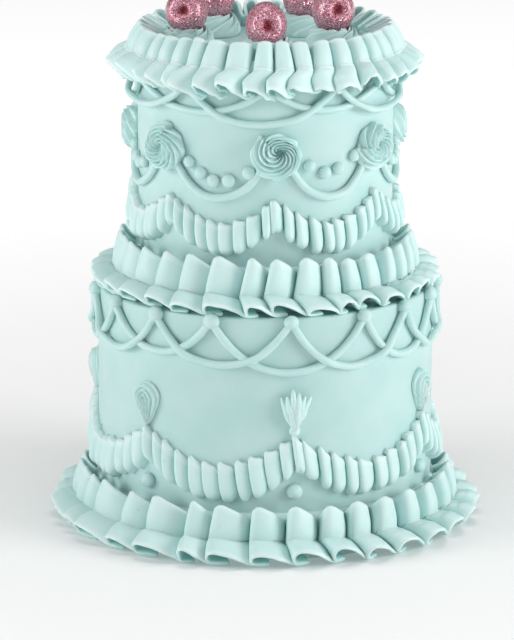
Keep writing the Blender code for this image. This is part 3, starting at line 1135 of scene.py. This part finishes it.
@dataclass
class Garland:
    """Swags of short upright pleats round a wall, hung from anchors.

    Attributes:
        node: The solid that it replaces.
        wall: The radius of the wall behind it.
        anchors: The azimuths that the swags hang from.
        high: Height of the pleats' middle at an anchor.
        low: Height of their middle at a swag's low.
        length: Length of a pleat.
        sways: How far the pleats' lower ends swing round, swag by swag.
        depth: How far a pleat stands off the wall.
        pleats: Pleats in a swag.
        seed: Seed of its unevenness.
    """

    node: str
    wall: float
    anchors: tuple[float, ...]
    high: float
    low: float
    length: float
    sways: tuple[float, ...]
    depth: float = 8.2
    pleats: int = 11
    seed: int = 1

    def surface(self) -> Surface:
        """The pleats as one ring whose back lies in the wall.

        Off the wall, a pleat is depth · B · (0.14 + 0.86 c^0.7). Along the swag c is
        0.5 + 0.5 cos 2π(t - 0.12), and B is round from its lower tip and sinks towards its upper
        edge.
        Round the wall it is t - lean · cos 2πt + 0.06 sin 2πt, so its left side overhangs. With h
        from 0 at its lower tip to 1 at its upper edge, the tips between the crests are notched by
        (1 - h)^1.5, the crests' upper edge is raised by h³, and its lower tip swings round by
        sway · (1 - h)^1.4.

        Returns:
            The garland as one closed surface.
        """
        rng = np.random.default_rng(self.seed)
        count = self.pleats * len(self.anchors)
        place = np.linspace(0, count, count * 18, endpoint=False)[None]
        share = place / count
        height = np.concatenate((np.linspace(0, 0.6, 10) ** 1.6 * 0.9, np.linspace(0.4, 1, 9)[1:]))
        height = height[:, None]
        angle = TURN * place
        crest = 0.5 + 0.5 * np.cos(angle - 0.12 * TURN)
        depth = self.depth * (1 + 0.16 * ring_noise(rng, count, share))
        lower = np.sqrt(1 - (np.clip(0.3 - height, 0, 1) / 0.3) ** 2)
        upper = 1 - 0.45 * (np.clip(height - 0.4, 0, 1) / 0.6) ** 1.8
        off = depth * lower * upper * (0.14 + 0.86 * crest**0.7) + 0.7 * bump(height, 1, 0.06)
        lean = 0.23 + 0.07 * ring_noise(rng, count, share)
        turn = place - lean * np.cos(angle) + 0.06 * np.sin(angle)
        azimuth, middle = self.path(turn + 0.15 * ring_noise(rng, count, share))
        half = self.length / 2 * (1 + 0.08 * ring_noise(rng, count, share))
        notch = 0.42 * (1 - crest**0.7) * (1 - height) ** 1.5
        peak = (0.11 * np.cos(angle - 0.04 * TURN) + 0.022 * np.cos(3 * angle)) * height**3
        up = middle + half * (2 * height - 1 + 2 * notch + 2 * peak)
        sway = ring_values(np.array(self.sways), share - 0.5 / len(self.sways))
        sway = (sway + 1.3 * ring_noise(rng, count // 2, share)) * (1 - height) ** 1.4
        azimuth = azimuth + np.degrees(sway / self.wall)
        front = polar(self.wall - 0.3 + off, azimuth, up)
        sunk = polar(self.wall - 1.2, azimuth[[0, -1]], up[[0, -1]])
        # Painted shade in the grooves between the pleats, and painted light along their upper edge.
        sunken = (1 - crest) ** 1.5 - 0.7 * smooth((height - 0.8) / 0.2)
        sunken = np.concatenate((sunken[:1], sunken, sunken[-1:]))
        return ring(np.concatenate((sunk[:1], front, sunk[1:])), sunken)

    def path(self, turn: Array) -> tuple[Array, Array]:
        """The path of the swags, with the pleats evenly spaced along it.

        A swag's height is low + rise · (2u - 1)², with u from 0 to 1 round it, and its pleats are
        spaced by the length of that curve.

        Args:
            turn: Places along the garland, in pleats.

        Returns:
            The azimuth and the height at each place.
        """
        u = np.linspace(0, 1, 201)
        arc = 360 / len(self.anchors) * np.pi / 180 * self.wall
        slope = 4 * (self.high - self.low) * (2 * u - 1)
        run = np.cumsum(np.hypot(arc, slope))
        run = (run - run[0]) / (run[-1] - run[0])
        swag = turn / self.pleats
        part = np.interp(swag % 1, run, u)
        azimuth = between(self.anchors, np.floor(swag) + part)
        return azimuth, blend(self.low, self.high, (2 * part - 1) ** 2)


@dataclass
class Pearls:
    """Small balls of icing, pressed on with a little peak.

    Attributes:
        beds: Where they are.
        radius: Their radius.
        height: How far they stand off.
    """

    beds: list[WallBed]
    radius: float
    height: float

    def surface(self) -> Surface:
        """All the pearls.

        From its outer pole, at angle p, a pearl is radius · sin p wide, and stands off by
        height · (0.36 + 0.64 cos p) + a peak of 0.35 exp(-(p / 0.3)²).

        Returns:
            One surface with a closed ball for each bed.
        """
        rng = np.random.default_rng(len(self.beds))
        polar_angle = np.linspace(0.08, 0.72 * np.pi, 12)[:, None]
        angle = np.linspace(0, TURN, 20, endpoint=False)[None]
        balls = []
        for bed in self.beds:
            size = self.radius * rng.uniform(0.92, 1.08)
            lopsided = 1 + 0.05 * np.cos(angle - rng.uniform(0, TURN))
            wide = size * np.sin(polar_angle) * lopsided
            out = self.height * (0.36 + 0.64 * np.cos(polar_angle))
            out = out + 0.35 * bump(polar_angle, 0, 0.3) + 0 * angle
            balls.append(pod(bed.lay(wide * np.cos(angle), wide * np.sin(angle), out)))
        return joined(balls)


@dataclass
class DropStrings:
    """Strings of icing that hang on a wall, each passing one hang by.

    Attributes:
        node: The solid that they replace.
        wall: The radius of the wall.
        hangs: The azimuths that they hang from.
        hang_height: The height that they hang from.
        lows: Heights of their lowest points, in turn.
        thickness: Their thickness.
        end_out: How far off the wall their ends are.
        low_outs: How far off the wall their lows are, in turn.
        lift: How much further out every second string lies where it crosses another.
    """

    node: str
    wall: float
    hangs: tuple[float, ...]
    hang_height: float
    lows: tuple[float, ...]
    thickness: float
    end_out: float
    low_outs: tuple[float, ...] = (0.0,)
    lift: float = 2.8

    def surface(self) -> Surface:
        """All the strings."""
        rng = np.random.default_rng(len(self.hangs))
        return joined(self.string(k, rng) for k in range(len(self.hangs)))

    def string(self, k: int, rng: np.random.Generator) -> Surface:
        """One string, from its hang to the next but one.

        With s from -1 to 1, its height rises from its low by (cosh 2s - 1) / (cosh 2 - 1) of its
        sag, and it stands off the wall by half its thickness, by its low's share 1 - s², by its
        ends' share s⁶, and over the strings that it crosses at s = ±0.5.

        Args:
            k: Which string it is.
            rng: Where its unevenness comes from.

        Returns:
            The string as one closed surface.
        """
        share = np.linspace(-1, 1, 72)
        start, end = between(self.hangs, np.array([k, k + 2]))
        azimuth = blend(start, end, (share + 1) / 2)
        low = self.lows[k % len(self.lows)]
        wobble = 0.35 * string_noise(rng, 7, share)
        height = blend(low, self.hang_height, catenary(share)) + wobble * (1 - share**2)
        over = self.lift * (bump(share, -0.5, 0.17) + bump(share, 0.5, 0.17)) * (k % 2 == 0)
        off = self.low_outs[k % len(self.low_outs)]
        out = self.thickness / 2 - 0.35 + over + off * (1 - share**2)
        out = out + self.end_out * share**6
        radius = self.thickness / 2 * (1 + 0.07 * string_noise(rng, 13, share))
        return tube(polar(self.wall + out, azimuth, height), straight_out(azimuth), radius)


def catenary(share: Array, droop: float = 2.0) -> Array:
    """A hanging line: (cosh ds - 1) / (cosh d - 1), 0 at its low and 1 at its ends, -1 and 1."""
    return (np.cosh(droop * share) - 1) / (np.cosh(droop) - 1)


@dataclass
class RosetteString:
    """The string between two side rosettes.

    Attributes:
        node: The solid that it replaces.
        start: The azimuth that it starts from.
        end: The azimuth that it ends at.
        low: Height of its lowest point.
        high: Height of its ends.
        thickness: Its thickness.
        seed: Seed of its unevenness.
    """

    node: str
    start: float
    end: float
    low: float = 230.5
    high: float = 250.0
    thickness: float = 5.2
    seed: int = 1

    def surface(self) -> Surface:
        """The string: a catenary on the wall, thinner towards its ends by 0.16 s².

        Returns:
            The string as one closed surface.
        """
        rng = np.random.default_rng(self.seed)
        share = np.linspace(-1, 1, 64)
        azimuth = blend(self.start, self.end, (share + 1) / 2)
        height = blend(self.low, self.high, catenary(share, 1.6))
        height = height + 0.4 * string_noise(rng, 6, share)
        radius = self.thickness / 2 * (1.05 - 0.16 * share**2)
        radius = radius * (1 + 0.05 * string_noise(rng, 11, share))
        path = polar(UPPER_WALL + self.thickness / 2 - 0.4 + 0 * share, azimuth, height)
        return tube(path, straight_out(azimuth), radius)


def flutes(phase: Array) -> Array:
    """A star tip's marks: 0 on a sharp ridge at each whole phase, 1 in the round groove between."""
    return np.abs(np.sin(np.pi * phase)) ** 0.85


@dataclass
class Rosette:
    """A swirl of icing from a star tip.

    Attributes:
        node: The solid that it replaces.
        bed: What it is piped on.
        radius: Its radius.
        depth: How far it stands off.
        ridges: Ridges that run out from its eye.
        twist: How far they turn on the way, in radians.
        hollow: Height of its eye, as a share of its depth.
        phase: The angle at which its last coil ends.
        eye: How far its eye is off its middle, across and up.
        seed: Seed of its unevenness.
    """

    node: str
    bed: WallBed | TopBed
    radius: float
    depth: float
    ridges: int = 8
    twist: float = 4.8
    hollow: float = 0.60
    phase: float = 2.2
    eye: tuple[float, float] = (1.6, 2.4)
    seed: int = 1

    def surface(self) -> Surface:
        """The swirl.

        With r from 0 to 1 outwards and angle a, ridges stand where n (a + twist · r) is a whole
        turn. The height is the body's, highest at r = 0.5, less the grooves between the ridges
        and a seam that winds out with the coil, and the coil's end steps in at the phase.

        Returns:
            The rosette as one closed surface.
        """
        rng = np.random.default_rng(self.seed)
        reach = np.linspace(0.02, 1, 60)[:, None]
        angle = np.linspace(0, TURN, 300, endpoint=False)[None]
        coil = ((angle - self.phase) / TURN) % 1
        uneven = 0.16 * ring_noise(rng, 7, angle / TURN) * reach
        groove = flutes(self.ridges * (angle + self.twist * reach) / TURN + uneven) ** 1.8
        edge = self.radius * (1.03 - 0.14 * coil * smooth((reach - 0.3) / 0.5))
        edge = edge * (1 + 0.035 * ring_noise(rng, 9, angle / TURN))
        ripple = 1 - 0.10 * groove * smooth((reach - 0.5) / 0.4)
        body = np.sqrt(1 - (np.clip(reach - 0.55, 0, 1) / 0.46) ** 2)
        inner = blend(self.hollow, 1, smooth(reach / 0.42))
        seam = bump(reach, 0.42 + 0.34 * coil, 0.045) * smooth(reach / 0.3)
        cut = 0.36 * smooth(reach / 0.10) * (1 - 0.18 * reach)
        height = self.depth * (body * inner - cut * groove * body**0.4 - 0.13 * seam)
        across = edge * ripple * reach * np.cos(angle) + self.eye[0] * (1 - reach) ** 1.3
        up = edge * ripple * reach * np.sin(angle) + self.eye[1] * (1 - reach) ** 1.3
        front = self.bed.lay(across, up, height)
        back = self.bed.lay(across[-1:] * 0.9, up[-1:] * 0.9, np.full_like(up[-1:], -0.8))
        # Painted shade in the grooves and in the eye, and painted light on the ridges.
        sunken = np.maximum(0.3 * groove**3 - 0.8 * (1 - groove) ** 2, bump(reach, 0, 0.10))
        return backed(front, back, sunken)


class ShellStyle(Enum):
    """How the star tip was lifted from a shell."""

    ARCHED = "arched"
    FAN = "fan"
    CURLED = "curled"


@dataclass
class Shell:
    """A fluted shell on an anchor of the lower garland, its tail down.

    Attributes:
        node: The solid that it replaces.
        azimuth: Its azimuth.
        style: How its flutes run.
        head: Height of the middle of its head.
        seed: Seed of its unevenness.
    """

    node: str
    azimuth: float
    style: ShellStyle
    head: float = 98.5
    seed: int = 1

    def surface(self) -> Surface:
        """The shell in its own style.

        Returns:
            The shell as one surface.
        """
        bed = WallBed(LOWER_WALL, self.azimuth, self.head)
        if self.style is ShellStyle.FAN:
            return self.fan(bed)
        if self.style is ShellStyle.ARCHED:
            return self.arches(bed, 0.0, 0.5, 1.2)
        return self.arches(bed, 0.9, 1.6, -1.0)

    def arches(self, bed: WallBed, curl: float, wrinkled: float, turned: float) -> Surface:
        """A teardrop with flutes nested like arches, whose legs run together in its tail.

        With q from 0 at its middle line to 1 at its outline, an arch goes up its left leg, over
        the head in a half circle of 10.2 q across and 10.8 q up, and 18 down its right leg. The
        legs close in to the tail as (1 - v)^0.7, with v from 0 at the head to 1 at the tail. Four
        flutes lie between the middle and the outline.

        Args:
            bed: Where the middle of the head is.
            curl: How many flutes the arches shift by from one leg to the other.
            wrinkled: Depth of the wrinkles across the tail.
            turned: How far the middle line lies off to one side.

        Returns:
            The shell as one closed surface.
        """
        rng = np.random.default_rng(self.seed)
        q = np.linspace(0.03, 1, 42)[:, None]
        along = np.linspace(0, 1, 220, endpoint=False)[None]
        leg = np.clip(np.abs(2 * along - 1) * 1.9 - 0.9, 0, 1)
        over = np.clip((along - 0.2368) / 0.5264, 0, 1) * np.pi
        across = -10.2 * q * np.cos(over) * (1 - leg) ** 0.7 + turned * (1 - q)
        up = 10.8 * q * np.sin(over) - 18.0 * leg
        groove = flutes(4 * q + curl * over / np.pi + 0.15 * ring_noise(rng, 6, along))
        dome = np.sqrt(1 - (q * 0.99) ** 4.5)
        height = 9.2 * dome * (1 - 0.25 * q) * (1 - 0.55 * leg**1.3) * (1 - 0.44 * groove)
        folds = np.sin(leg * 21 + 3 * ring_noise(rng, 5, along)) * leg * (1 - leg)
        height = height + wrinkled * 1.4 * folds * dome
        across = across + 0.5 * wrinkled * folds
        front = bed.lay(across, up, height)
        back = bed.lay(across[-1:] * 0.9, up[-1:], np.full_like(up[-1:], -0.8))
        # Painted shade in the flutes' grooves, and painted light on their ridges.
        sunken = 0.7 * groove**4 - 0.7 * (1 - groove) ** 2
        return backed(front, back, sunken)

    def fan(self, bed: WallBed) -> Surface:
        """Fingers that spread from the tail, and the pinch of icing that they leave it by.

        Each finger bows out by spread · s^1.35 on its way up, stands off by 1.6 +
        (5.2 - 0.03 spread²) sin 2.4s, every second one by 0.9 s more, and swells in the middle of
        its length.

        Args:
            bed: Where the middle of the fan is.

        Returns:
            The shell as one surface of closed fingers.
        """
        rng = np.random.default_rng(self.seed)
        share = np.linspace(0, 1, 30)
        fingers = []
        for k, spread in enumerate(np.linspace(-9.4, 9.8, 6)):
            length = 29.0 - 0.050 * spread**2 + rng.uniform(-1.6, 1.6)
            across = spread * share**1.35 + 0.5 * ring_noise(rng, 5, share * 0.8)
            up = -16.5 + length * share
            out = 1.6 + (5.2 - 0.03 * spread**2) * np.sin(2.4 * share) + 0.9 * (k % 2) * share
            radius = 1.3 + 1.25 * np.sin(np.pi * share**1.2) ** 0.8
            radius = radius * (1 + 0.10 * ring_noise(rng, 9, share * 0.8))
            radius = radius * np.sqrt(np.clip(1.02 - share**9, 0.02, 1))
            outward = bed.lay(across, up, out + 1) - bed.lay(across, up, out)
            fingers.append(tube(bed.lay(across, up, out), unit(outward), radius, sides=10))
        pinch = Pearls([WallBed(LOWER_WALL, self.azimuth, self.head - 14.5)], 3.6, 4.4)
        return joined((*fingers, pinch.surface()))


@dataclass
class Cherry:
    """A candied cherry under glitter, on its side, with the hollow that its stem left.

    Attributes:
        node: The solid that it replaces.
        radius: Its radius at its widest.
        half_height: Half its height.
        lean: Where its hollow points, as an angle from straight up and an azimuth.
        shift: How far it stands from its solid's middle, right, back and up.
        seed: Seed of its unevenness.
    """

    node: str
    radius: float = 13.8
    half_height: float = 15.2
    lean: tuple[float, float] = (78.0, 0.0)
    shift: tuple[float, float, float] = (0.0, 0.0, 0.0)
    seed: int = 1

    def surface(self) -> Surface:
        """The cherry.

        With angle p from its hollow, a point is 1 - 0.30 exp(-(p / 0.36)²) +
        0.04 exp(-((p - 0.62) / 0.3)²) of the radius from the middle, with random dents and an
        uneven hollow, and the whole then leans with the hollow.

        Returns:
            The cherry as one closed surface, marked as sunken in its hollow.
        """
        rng = np.random.default_rng(self.seed)
        down = np.linspace(0.03, np.pi - 0.03, 60)[:, None]
        share = np.linspace(0, 1, 120, endpoint=False)[None]
        hollow = bump(down, 0, 0.36 + 0.10 * ring_noise(rng, 5, share))
        size = 1 - 0.30 * hollow + 0.04 * bump(down, 0.62, 0.3)
        size = size + 0.020 * patch_noise(rng, (7, 5), share, down / np.pi * 0.999)
        size = size + 0.008 * patch_noise(rng, (52, 34), share, down / np.pi * 0.999)
        radial = size * np.sin(down)
        x, y = radial * np.cos(TURN * share), radial * np.sin(TURN * share)
        tilt, turn = np.radians(self.lean)
        z = size * np.cos(down)
        ahead = x * np.cos(tilt) + z * np.sin(tilt)
        upward = z * np.cos(tilt) - x * np.sin(tilt)
        points = np.stack(
            (
                (ahead * np.sin(turn) + y * np.cos(turn)) * self.radius,
                (y * np.sin(turn) - ahead * np.cos(turn)) * self.radius,
                upward * self.half_height,
            ),
            -1,
        )
        return pod(middle_of(self.node) + self.shift + points, hollow)


@dataclass(frozen=True)
class Lamp:
    """A square soft box that faces the middle of the cake.

    Attributes:
        name: Its name.
        place: Where it is, in metres.
        power: Its power, in watts.
        side: Its side, in metres.
    """

    name: str
    place: tuple[float, float, float]
    power: float
    side: float = 1.3

    def build(self) -> None:
        """Sets up the lamp."""
        light = bpy.data.lights.new(self.name, "AREA")
        light.size = self.side
        light.energy = self.power
        lamp = placed(self.name, light)
        lamp.location = self.place
        lamp.rotation_euler = aim(np.array(CAKE_MIDDLE) - np.array(self.place))


@dataclass
class Studio:
    """The glowing pale floor, the soft light and the camera.

    Attributes:
        camera_place: Where the camera is, in millimetres.
        pitch: How far it looks down, in degrees.
        focal: Its focal length, in heights of the picture.
        sky_light: Strength of the surround's light.
        floor_side: Half the floor's side, in metres.
        floor_level: The floor's height, in metres.
        lamps: The soft boxes.
    """

    camera_place: tuple[float, float, float] = (-5.5, -2571.5, 769.9)
    pitch: float = 13.978
    focal: float = 3961 / 640
    sky_light: float = 0.25
    floor_side: float = 30.0
    floor_level: float = -0.0004
    lamps: tuple[Lamp, ...] = (
        Lamp("left_softbox", (-2.2, -0.7, 0.9), 27.5),
        Lamp("right_softbox", (2.2, -0.9, 0.9), 36.0),
        Lamp("top_softbox", (0.1, -0.3, 2.4), 13.0),
    )

    def build(self) -> None:
        """Sets up the floor, the sky, the lamps and the camera."""
        self.floor()
        self.sky()
        for lamp in self.lamps:
            lamp.build()
        self.camera()
        settings = bpy.context.scene.view_settings
        settings.view_transform = "Standard"
        settings.look = "None"

    def floor(self) -> None:
        """A wide pale floor just under the cake that glows, faintly near the cake and more further
        off, where it shows white.
        """
        mesh = bpy.data.meshes.new("floor")
        side, level = self.floor_side, self.floor_level
        corners = [(-side, -side, level), (side, -side, level)]
        corners += [(side, side, level), (-side, side, level)]
        mesh.from_pydata(corners, [], [(0, 1, 2, 3)])
        floor = placed("floor", mesh)
        material, nodes, shader = new_material("glowing_floor")
        place = nodes.add("ShaderNodeTexCoord").outputs["Object"]
        away = nodes.maths("ShaderNodeVectorMath", "LENGTH", place)
        nodes.fill(
            shader,
            Base_Color=(0.86, 0.86, 0.855, 1.0),
            Roughness=0.85,
            # Painted light: the floor glows, faintly near the cake and more further off, and so
            # lights the cake a little from below.
            Emission_Color=(1.0, 1.0, 1.0, 1.0),
            Emission_Strength=nodes.mapped(away.outputs["Value"], 0.15, 1.2, (0.16, 0.62)),
        )
        mesh.materials.append(material)

    def sky(self) -> None:
        """An even white surround, whose light is softer than it looks."""
        world = bpy.data.worlds.new("surround")
        world.use_nodes = True
        nodes = Nodes(world.node_tree)
        white = (1.0, 1.0, 1.0, 1.0)
        soft = world.node_tree.nodes["Background"]
        nodes.fill(soft, Color=white, Strength=self.sky_light)
        seen = nodes.add("ShaderNodeBackground", Color=white, Strength=1.0)
        both = nodes.add("ShaderNodeMixShader")
        seen_straight = nodes.add("ShaderNodeLightPath").outputs["Is Camera Ray"]
        shares = (seen_straight, soft.outputs["Background"], seen.outputs["Background"])
        for socket, value in zip(both.inputs, shares):
            nodes.feed(socket, value)
        output = world.node_tree.nodes["World Output"]
        nodes.fill(output, Surface=both.outputs["Shader"])
        bpy.context.scene.world = world

    def camera(self) -> None:
        """The camera, at the photograph's place and angle."""
        lens = bpy.data.cameras.new("camera")
        lens.sensor_width = 36.0
        lens.lens = lens.sensor_width * self.focal
        lens.clip_end = 100.0
        camera = placed("camera", lens)
        camera.location = [part * MM for part in self.camera_place]
        camera.rotation_euler = (np.radians(90 - self.pitch), 0.0, 0.0)
        bpy.context.scene.camera = camera


def aim(direction: Array) -> tuple[float, float, float]:
    """Euler angles that turn -Z to a direction.

    Args:
        direction: The direction, of any length.

    Returns:
        The angles about X, Y and Z, in radians.
    """
    flat = float(np.hypot(direction[0], direction[1]))
    tilt = float(np.arctan2(flat, -direction[2]))
    turn = float(np.arctan2(-direction[0], direction[1]))
    return (tilt, 0.0, turn)


@dataclass
class Cake:
    """The whole cake, piece by piece."""

    kitchen: Kitchen

    def build(self) -> None:
        """Makes every piece from the bottom up."""
        self.tiers()
        self.ruffles()
        self.garlands()
        self.strings()
        self.rosettes()
        self.shells()
        self.cherries()

    def tiers(self) -> None:
        """The two smoothed tiers, and the pearls on their walls."""
        lower = Tier("lower_tier", LOWER_WALL, 0.0, LEDGE, seed=5)
        upper = Tier("upper_tier", UPPER_WALL, LEDGE + 0.5, TOP, seed=6)
        for tier in (lower, upper):
            self.kitchen.dress(tier, self.kitchen.wall)
        beds = [WallBed(LOWER_WALL, azimuth, ANCHOR_PEARL_HEIGHT) for azimuth in LOWER_ANCHORS]
        anchors = Pearls(beds, radius=5.0, height=5.6)
        self.kitchen.serve("anchor_pearls", anchors.surface(), self.kitchen.string)
        chain = Pearls(self.chain_beds(), radius=4.1, height=4.8)
        self.kitchen.serve("chain_pearls", chain.surface(), self.kitchen.string)

    def chain_beds(self) -> list[WallBed]:
        """The places of the pearls between the side rosettes, five and four in turn.

        Returns:
            The pearls' beds: those at the front, then each chain round the back, whose height
            rises from its low by 8.5 s² with s from -1 to 1.
        """
        beds = [WallBed(UPPER_WALL, azimuth, height) for azimuth, height in CHAIN_FRONT]
        for k in range(2, len(ROSETTES)):
            middle = float(between(ROSETTES, np.array(k + 0.5)))
            for share in np.linspace(-1, 1, (5, 4)[k % 2]):
                height = 243.0 + 8.5 * share**2
                beds.append(WallBed(UPPER_WALL, middle + 12.5 * share, height))
        return beds

    def ruffles(self) -> None:
        """The three ruffled borders."""
        base = Ruffle(
            node="base_ruffle",
            pleats=33,
            folds=(
                *(-77.0, -69.0, -61.5, -48.0, -37.3, -24.0, -16.5, -4.2, 6.7),
                *(17.0, 26.5, 35.5, 46.5, 57.7, 69.0, 80.0, 91.0),
            ),
            slopes=(
                *(1.0, 1.0, 1.0, 1.0, 1.0, 0.9, 1.0, 1.0),
                *(0.8, 0.6, 0.5, 0.3, 0.3, 0.2, 0.3, 0.5),
            ),
            upper=Line(115.6, 29.3, STANDING, shift=0.12, belly=1.6, reach=2.4),
            crease=Line(121.4, 11.2, CREASED),
            lower=Line(138.2, 4.0, LOOPED, shift=0.12, belly=2.2, reach=4.5),
            bed=(
                *((111.0, 0.3), (122.0, 0.3), (119.0, 10.0), (115.6, 20.0)),
                *((114.0, 26.0), (112.6, 28.2), (111.0, 29.0)),
            ),
            floor=1.0,
            lively=0.12,
            seed=21,
        )
        middle = Ruffle(
            node="middle_ruffle",
            pleats=33,
            folds=(
                *(-78.0, -68.0, -57.5, -45.0, -33.6, -22.3, -9.0, 0.0),
                *(11.4, 23.5, 31.8, 42.0, 52.7, 62.5, 72.0, 82.0),
            ),
            slopes=(0.8, 0.8, 0.8, 1.0, 1.0, 1.0, 0.8, 1.0, 0.9, 0.2, 0.1, 0.1, 0.2, 0.3, 0.5),
            upper=Line(89.6, 187.2, STANDING, 0.88, shift=0.18, belly=1.3, reach=1.7),
            crease=Line(95.6, 167.2, CREASED, 0.85),
            lower=Line(111.6, 161.4, LOOPED, 0.82, shift=0.18, belly=1.8, reach=1.6),
            bed=(
                *((83.5, LEDGE + 0.2), (96.0, LEDGE + 0.2), (92.5, 168.0)),
                *((89.4, 176.0), (87.2, 182.5), (85.8, 185.2), (83.5, 186.2)),
            ),
            floor=LEDGE + 0.6,
            seed=22,
        )
        top = Ruffle(
            node="top_ruffle",
            pleats=38,
            folds=(
                *(-84.0, -72.0, -58.5, -50.3, -42.0, -33.5, -27.3, -16.0, -4.2),
                *(5.0, 13.8, 21.5, 31.4, 41.5, 51.0, 60.0, 70.0, 80.0),
            ),
            hem=(
                *(-84.0, -71.0, -58.0, -50.0, -43.0, -37.5, -28.0, -18.5, -9.0),
                *(1.0, 10.0, 18.0, 27.0, 39.5, 50.0, 60.5, 70.0, 80.0),
            ),
            lobes=(
                *(1.0, 1.1, 1.1, 0.9, 0.4, 0.9, 1.1, 1.25, 0.6),
                *(1.1, 0.7, 0.15, 0.8, 1.2, 0.9, 1.0, 1.0, 1.0),
            ),
            upper=Line(76.0, 329.2, FINGERED, 0.94, belly=1.2),
            crease=Line(86.6, 314.6, FINGERED, 0.52),
            lower=Line(95.6, 302.4, HEMMED, 0.92, belly=1.8, reach=1.5),
            bed=(
                *((83.5, 310.0), (86.0, 311.5), (86.2, 315.0), (81.0, 320.0)),
                *((76.0, 319.5), (74.0, TOP + 0.2), (83.5, TOP - 0.5)),
            ),
            bead=0.6,
            lively=0.35,
            ragged=0.8,
            seed=23,
        )
        for ruffle in (base, middle, top):
            self.kitchen.dress(ruffle, self.kitchen.icing)

    def garlands(self) -> None:
        """The ruffled garland of each tier."""
        lower = Garland(
            node="lower_garland",
            wall=LOWER_WALL,
            anchors=LOWER_ANCHORS,
            high=67.5,
            low=47.0,
            length=23.5,
            sways=(4.6, 0.8, 2.5, 4.0, 1.0, 3.0, 2.0),
            seed=31,
        )
        upper = Garland(
            node="upper_garland",
            wall=UPPER_WALL,
            anchors=UPPER_ANCHORS,
            high=219.5,
            low=202.5,
            length=21.0,
            sways=(2.2, 0.8, 2.5, 1.0, 3.0, 1.5, 2.0),
            pleats=9,
            seed=32,
        )
        for garland in (lower, upper):
            self.kitchen.dress(garland, self.kitchen.icing)

    def strings(self) -> None:
        """The nets of drop strings, and the strings between the rosettes."""
        lower = DropStrings(
            node="lower_strings",
            wall=LOWER_WALL,
            hangs=LOWER_HANGS,
            hang_height=156.5,
            lows=(127.0, 132.0, 127.2, 122.7, 123.9, 125.0, 124.0, 126.0),
            thickness=5.0,
            end_out=1.2,
        )
        beds = [WallBed(LOWER_WALL, azimuth, HANG_PEARL_HEIGHT) for azimuth in LOWER_HANGS]
        hangs = Pearls(beds, radius=5.1, height=7.0)
        net = joined((lower.surface(), hangs.surface()))
        self.kitchen.serve("lower_strings_icing", net, self.kitchen.string, lower.node)
        upper = DropStrings(
            node="upper_strings",
            wall=UPPER_WALL,
            hangs=UPPER_HANGS,
            hang_height=304.0,
            lows=(285.5, 286.0, 279.3, 287.5, 283.0, 286.0, 280.0),
            thickness=4.6,
            end_out=5.5,
            low_outs=(3.2, 0.0, 0.4, 0.0),
            lift=2.4,
        )
        self.kitchen.dress(upper, self.kitchen.string)
        inset = 6.5
        for k, start in enumerate(ROSETTES):
            node = f"rosette_string_{k + 1}"
            end = float(between(ROSETTES, np.array(k + 1)))
            string = RosetteString(node, start + inset, end - inset, seed=41 + k)
            self.kitchen.dress(string, self.kitchen.string)

    def rosettes(self) -> None:
        """The rosettes on the side and those under the cherries."""
        eyes = (
            *((-2.4, 0.4), (1.7, 2.8), (1.0, 1.5), (-1.5, 1.0)),
            *((0.5, 2.0), (-1.0, 0.0), (2.0, 1.0)),
        )
        for k, azimuth in enumerate(ROSETTES):
            bed = WallBed(UPPER_WALL, azimuth, SIDE_ROSETTE_HEIGHT)
            phase = 1.3 + 0.9 * k
            rosette = Rosette(
                f"side_rosette_{k + 1}", bed, 16.8, 11.5, phase=phase, eye=eyes[k], seed=k
            )
            self.kitchen.dress(rosette, self.kitchen.icing)
        for k, (right, back, _) in enumerate(CHERRY_SHIFTS):
            node = f"top_rosette_{k + 1}"
            bed = TopBed(middle_of(node) + (right, back, 0))
            swirl = Rosette(node, bed, radius=19.4, depth=15.0, phase=1.3 * k, seed=k + 9)
            self.kitchen.dress(swirl, self.kitchen.icing)

    def shells(self) -> None:
        """The shells over the lower garland's anchors, each lifted its own way."""
        styles = (ShellStyle.ARCHED, ShellStyle.FAN, ShellStyle.CURLED)
        for k, azimuth in enumerate(LOWER_ANCHORS):
            shell = Shell(f"shell_{k + 1}", azimuth, styles[k % len(styles)], seed=51 + k)
            self.kitchen.dress(shell, self.kitchen.icing)

    def cherries(self) -> None:
        """The five cherries, each leaning its own way."""
        leans = ((82.0, 4.0), (76.0, 12.0), (60.0, 100.0), (64.0, -95.0), (78.0, -8.0))
        for k, lean in enumerate(leans):
            sizes = FRONT_CHERRY if k == 0 else OTHER_CHERRY
            cherry = Cherry(f"cherry_{k + 1}", *sizes, lean, CHERRY_SHIFTS[k], seed=61 + k)
            self.kitchen.dress(cherry, self.kitchen.glitter, "glitter")


def main() -> None:
    """Builds the cake and the studio."""
    logging.basicConfig(level=logging.INFO, format="%(name)s: %(message)s")
    kitchen = Kitchen(
        # The piping and the strings use lighter copies of the walls' buttercream: painted light
        # that offsets their self-shadowing.
        icing=Buttercream(
            "piped_buttercream_painted_lighter", tint=(0.665, 0.86, 0.845), deep=(0.605, 0.83, 0.815)
        ).material(),
        string=Buttercream(
            "string_buttercream_painted_lighter", tint=(0.585, 0.79, 0.775), deep=(0.53, 0.765, 0.75)
        ).material(),
        wall=Buttercream("smoothed_buttercream", grain=0.035, pits=0.18).material(),
        glitter=Glitter("pink_cherry_glitter").material(),
    )
    Cake(kitchen).build()
    Studio().build()


if __name__ == "__main__":
    main()
